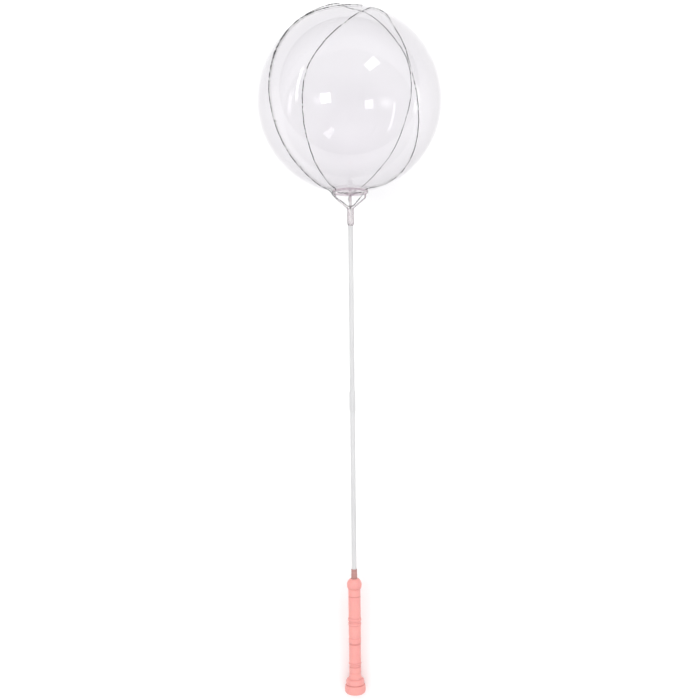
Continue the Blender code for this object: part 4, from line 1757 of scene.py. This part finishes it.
    def chip(self) -> bpy.types.Mesh:
        """Returns the small lamp inside a drop: a pad with a rounded top, on one side of the wire."""
        shape = bmesh.new()
        bmesh.ops.create_cube(shape, size=1.0)
        bmesh.ops.scale(shape, vec=self.chip_size, verts=shape.verts)
        bmesh.ops.bevel(
            shape, geom=shape.edges, offset=self.chip_rounding, segments=2, affect="EDGES",
            profile=0.5,
        )
        bmesh.ops.translate(shape, vec=(self.chip_out, 0.0, 0.0), verts=shape.verts)
        mesh = bpy.data.meshes.new("chip")
        shape.to_mesh(mesh)
        shape.free()
        return mesh

    def along(self, name: str, part: bpy.types.Mesh, material: bpy.types.Material,
              smallest: float) -> bpy.types.Mesh:
        """Repeats a mesh at each even step along the wire outside the pole.

        Args:
            name: The result's name.
            part: The mesh, drawn along +Z.
            material: Its material.
            smallest: The smallest share of its size that a copy has.

        Returns:
            All the copies in one mesh.
        """
        points, inside = self.line()
        length = sum((b - a).length for a, b in zip(points, points[1:]))
        count = int((length - inside - self.drop_pitch / 2 - self.tail) / self.drop_pitch)
        start = inside + self.drop_pitch / 2
        one = add_object(f"{name}_one", part)
        repeater = Repeater(name)
        first = repeater.input("First Drop", "Float", start)
        last = repeater.input("Last Drop", "Float", start + count * self.drop_pitch)
        pitch = repeater.input("Drop Pitch", "Float", self.drop_pitch)
        shape = repeater.input("Part", "Object", one)
        finish = repeater.input("Material", "Material", material)
        line = repeater.add("GeometryNodeMeshToCurve", {0: repeater.source.outputs[0]})
        trimmed = repeater.add("GeometryNodeTrimCurve", {"Curve": line.outputs[0]}, mode="LENGTH")
        lengths = [s for s in trimmed.inputs if s.name in ("Start", "End") and s.enabled]
        for socket, value in zip(lengths, (first, last)):
            repeater.tree.links.new(value, socket)
        even = repeater.add(
            "GeometryNodeResampleCurve",
            {"Curve": trimmed.outputs[0], "Length": pitch},
            mode="LENGTH",
        )
        tangent = repeater.add("GeometryNodeInputTangent").outputs[0]
        turn = repeater.add("FunctionNodeAlignRotationToVector", {"Vector": tangent}, axis="Z")
        size = repeater.add("FunctionNodeRandomValue", {"Seed": self.drop_seed})
        spans = [s for s in size.inputs if s.name in ("Min", "Max") and s.type == "VALUE"]
        for socket, value in zip(spans, (smallest, 1.0)):
            socket.default_value = value
        scale = next(s for s in size.outputs if s.type == "VALUE")
        look = repeater.add("GeometryNodeObjectInfo", {"Object": shape})
        copies = repeater.add(
            "GeometryNodeInstanceOnPoints",
            {
                "Points": even.outputs[0],
                "Instance": look.outputs["Geometry"],
                "Rotation": turn.outputs[0],
                "Scale": scale,
            },
        )
        repeater.end(copies.outputs[0], finish)
        mesh = repeater.run(name, self.path_mesh(name))
        bpy.data.objects.remove(one, do_unlink=True)
        return mesh

    def build(self) -> list[bpy.types.Object]:
        """Builds the wires, their drops and the small lamps inside them."""
        resin, pale = CloudyResin(), PaleChip()
        drops = self.along("string_drops", self.drop(), resin.material(), self.smallest_drop)
        chips = self.along("string_chips", self.chip(), pale.material(), 1.0)
        return [
            self.hand_over(
                "string_wires", self.wires(), EnamelledWire(), Slot.WIRE, "light_string", crease=80.0
            ),
            self.hand_over("string_drops", drops, resin, Slot.MILKY, crease=80.0),
            self.hand_over("string_chips", chips, pale, Slot.WIRE),
        ]


# Set and view


@dataclass(frozen=True)
class Lamp:
    """A soft lamp, placed by where its highlight shows on the bubble in the 700 pixel picture."""

    name: str
    seen_at: tuple[float, float]
    size: tuple[float, float]
    radiance: float
    distance: float = 1.5
    turn: float = 0.0
    fade: float = 0.35


@dataclass
class Studio:
    """The floor, the lamps, the light around them and the camera."""

    axis: Axis
    centre: float = Stations.bubble_centre
    radius: float = 184 * MM
    aim_station: float = 686 * MM
    aim_left: float = 3.8 * MM
    distance: float = 1.8
    pixels: int = 700
    focal_pixels: float = 900.0
    roll: float = math.radians(0.592)
    floor_size: float = 14.0
    horizon: float = 0.32
    zenith: float = 1.34
    full_rise: float = 0.8
    lamps: tuple[Lamp, ...] = field(default_factory=lambda: (
        Lamp("window_square", (325.5, 99.0), (0.37, 0.35), 5.0, fade=0.1),
        Lamp("window_slanted", (372.0, 63.5), (0.31, 0.52), 3.6, turn=math.radians(-52), fade=0.15),
        Lamp("strip_left", (298.0, 84.0), (0.14, 1.20), 4.0, 1.6, turn=math.radians(-12)),
        Lamp("soft_panel", (386.0, 104.0), (0.85, 0.60), 2.2, 1.7, fade=1.0),
        Lamp("strip_right", (417.0, 101.0), (0.30, 1.00), 3.0, 1.7, fade=0.7),
    ))

    def view_matrix(self) -> Matrix:
        """Returns where the camera stands and how it is turned."""
        lay = self.axis.matrix()
        local = Matrix(((1, 0, 0), (0, 0, -1), (0, 1, 0))).to_4x4()
        place = Matrix.Translation((-self.aim_left, -self.distance, self.aim_station))
        return lay @ place @ local @ Matrix.Rotation(-self.roll, 4, "Z")

    def camera(self) -> bpy.types.Object:
        """Makes the camera at the picture's viewing angle."""
        data = bpy.data.cameras.new("camera")
        data.sensor_width = 36.0
        data.lens = self.focal_pixels / self.pixels * data.sensor_width
        data.clip_start = 0.01
        data.clip_end = 100.0
        camera = bpy.data.objects.new("camera", data)
        bpy.context.scene.collection.objects.link(camera)
        camera.matrix_world = self.view_matrix()
        bpy.context.scene.camera = camera
        return camera

    def highlight(self, lamp: Lamp) -> tuple[Vector, Vector]:
        """Finds where a lamp's highlight lies on the bubble and the way to the lamp from there.

        Args:
            lamp: The lamp.

        Returns:
            The point on the film and the direction to the lamp.
        """
        view = self.view_matrix()
        across = (lamp.seen_at[0] - self.pixels / 2) / self.focal_pixels
        along = (self.pixels / 2 - lamp.seen_at[1]) / self.focal_pixels
        ray = (view.to_3x3() @ Vector((across, along, -1.0))).normalized()
        start = view.to_translation()
        middle = self.axis.matrix() @ Vector((0.0, 0.0, self.centre))
        towards = middle - start
        near = towards.dot(ray)
        gap = towards.length_squared - near * near
        point = start + ray * (near - math.sqrt(max(0.0, self.radius**2 - gap)))
        normal = (point - middle).normalized()
        return point, ray - 2 * ray.dot(normal) * normal

    def soften(self, data: bpy.types.AreaLight, fade: float) -> None:
        """Lets a lamp's glow die away towards its edges.

        Args:
            data: The lamp's light.
            fade: The share of its half width over which it dies away.
        """
        data.use_nodes = True
        nodes, links = data.node_tree.nodes, data.node_tree.links
        where = nodes.new("ShaderNodeNewGeometry")
        parts = nodes.new("ShaderNodeSeparateXYZ")
        links.new(where.outputs["Parametric"], parts.inputs[0])
        product = nodes.new("ShaderNodeMath")
        product.operation = "MULTIPLY"
        for index, name in enumerate(("X", "Y")):
            centred = nodes.new("ShaderNodeMath")
            centred.operation = "SUBTRACT"
            centred.inputs[1].default_value = 0.5
            off = nodes.new("ShaderNodeMath")
            off.operation = "ABSOLUTE"
            ramp = nodes.new("ShaderNodeMapRange")
            ramp.interpolation_type = "SMOOTHSTEP"
            for place, number in enumerate((0.5 * (1 - fade), 0.5, 1.0, 0.0), start=1):
                ramp.inputs[place].default_value = number
            links.new(parts.outputs[name], centred.inputs[0])
            links.new(centred.outputs[0], off.inputs[0])
            links.new(off.outputs[0], ramp.inputs[0])
            links.new(ramp.outputs[0], product.inputs[index])
        links.new(product.outputs[0], nodes["Emission"].inputs["Strength"])

    def light(self, lamp: Lamp) -> bpy.types.Object:
        """Makes one lamp.

        Args:
            lamp: Its facts.

        Returns:
            The area light, facing the bubble.
        """
        point, way = self.highlight(lamp)
        data = bpy.data.lights.new(lamp.name, "AREA")
        data.shape = "RECTANGLE"
        data.size, data.size_y = lamp.size
        data.energy = lamp.radiance * math.pi * lamp.size[0] * lamp.size[1]
        self.soften(data, lamp.fade)
        light = bpy.data.objects.new(lamp.name, data)
        bpy.context.scene.collection.objects.link(light)
        upright = self.view_matrix().to_3x3() @ Vector((0.0, 1.0, 0.0))
        across = upright.cross(way).normalized()
        turn = Matrix((across, way.cross(across), way)).transposed().to_4x4()
        light.matrix_world = (
            Matrix.Translation(point + way * lamp.distance) @ turn @ Matrix.Rotation(lamp.turn, 4, "Z")
        )
        return light

    def floor(self) -> bpy.types.Object:
        """Makes the plain pale floor."""
        shape = bmesh.new()
        bmesh.ops.create_grid(shape, x_segments=8, y_segments=8, size=self.floor_size / 2)
        mesh = bpy.data.meshes.new("floor")
        shape.to_mesh(mesh)
        shape.free()
        mesh.materials.append(PaleFloor().material())
        floor = add_object("floor", mesh)
        return floor

    def surroundings(self) -> None:
        """Sets the soft light all round, brighter overhead."""
        world = bpy.data.worlds.new("studio")
        world.use_nodes = True
        nodes, links = world.node_tree.nodes, world.node_tree.links
        sky = nodes["Background"]
        sky.inputs["Color"].default_value = (0.995, 0.995, 1.0, 1.0)
        where = nodes.new("ShaderNodeTexCoord")
        parts = nodes.new("ShaderNodeSeparateXYZ")
        rise = nodes.new("ShaderNodeMapRange")
        for index, number in enumerate((0.0, self.full_rise, self.horizon, self.zenith), start=1):
            rise.inputs[index].default_value = number
        links.new(where.outputs["Generated"], parts.inputs[0])
        links.new(parts.outputs["Z"], rise.inputs[0])
        links.new(rise.outputs[0], sky.inputs["Strength"])
        bpy.context.scene.world = world

    def build(self) -> None:
        """Sets up the studio."""
        self.camera()
        self.floor()
        self.surroundings()
        for lamp in self.lamps:
            self.light(lamp)
        bpy.context.scene.view_settings.view_transform = "Standard"


def main() -> None:
    """Builds the balloon's looks and the studio."""
    logging.basicConfig(level=logging.INFO, format="%(message)s")
    axis = Axis.from_record(frame["record"])
    Studio(axis).build()
    for part in (Bubble(axis), Cup(axis), Pole(axis), Handle(axis), LightString(axis)):
        for piece in part.build():
            LOG.info("%s built %s", type(part).__name__, piece.name)


if __name__ == "__main__":
    main()
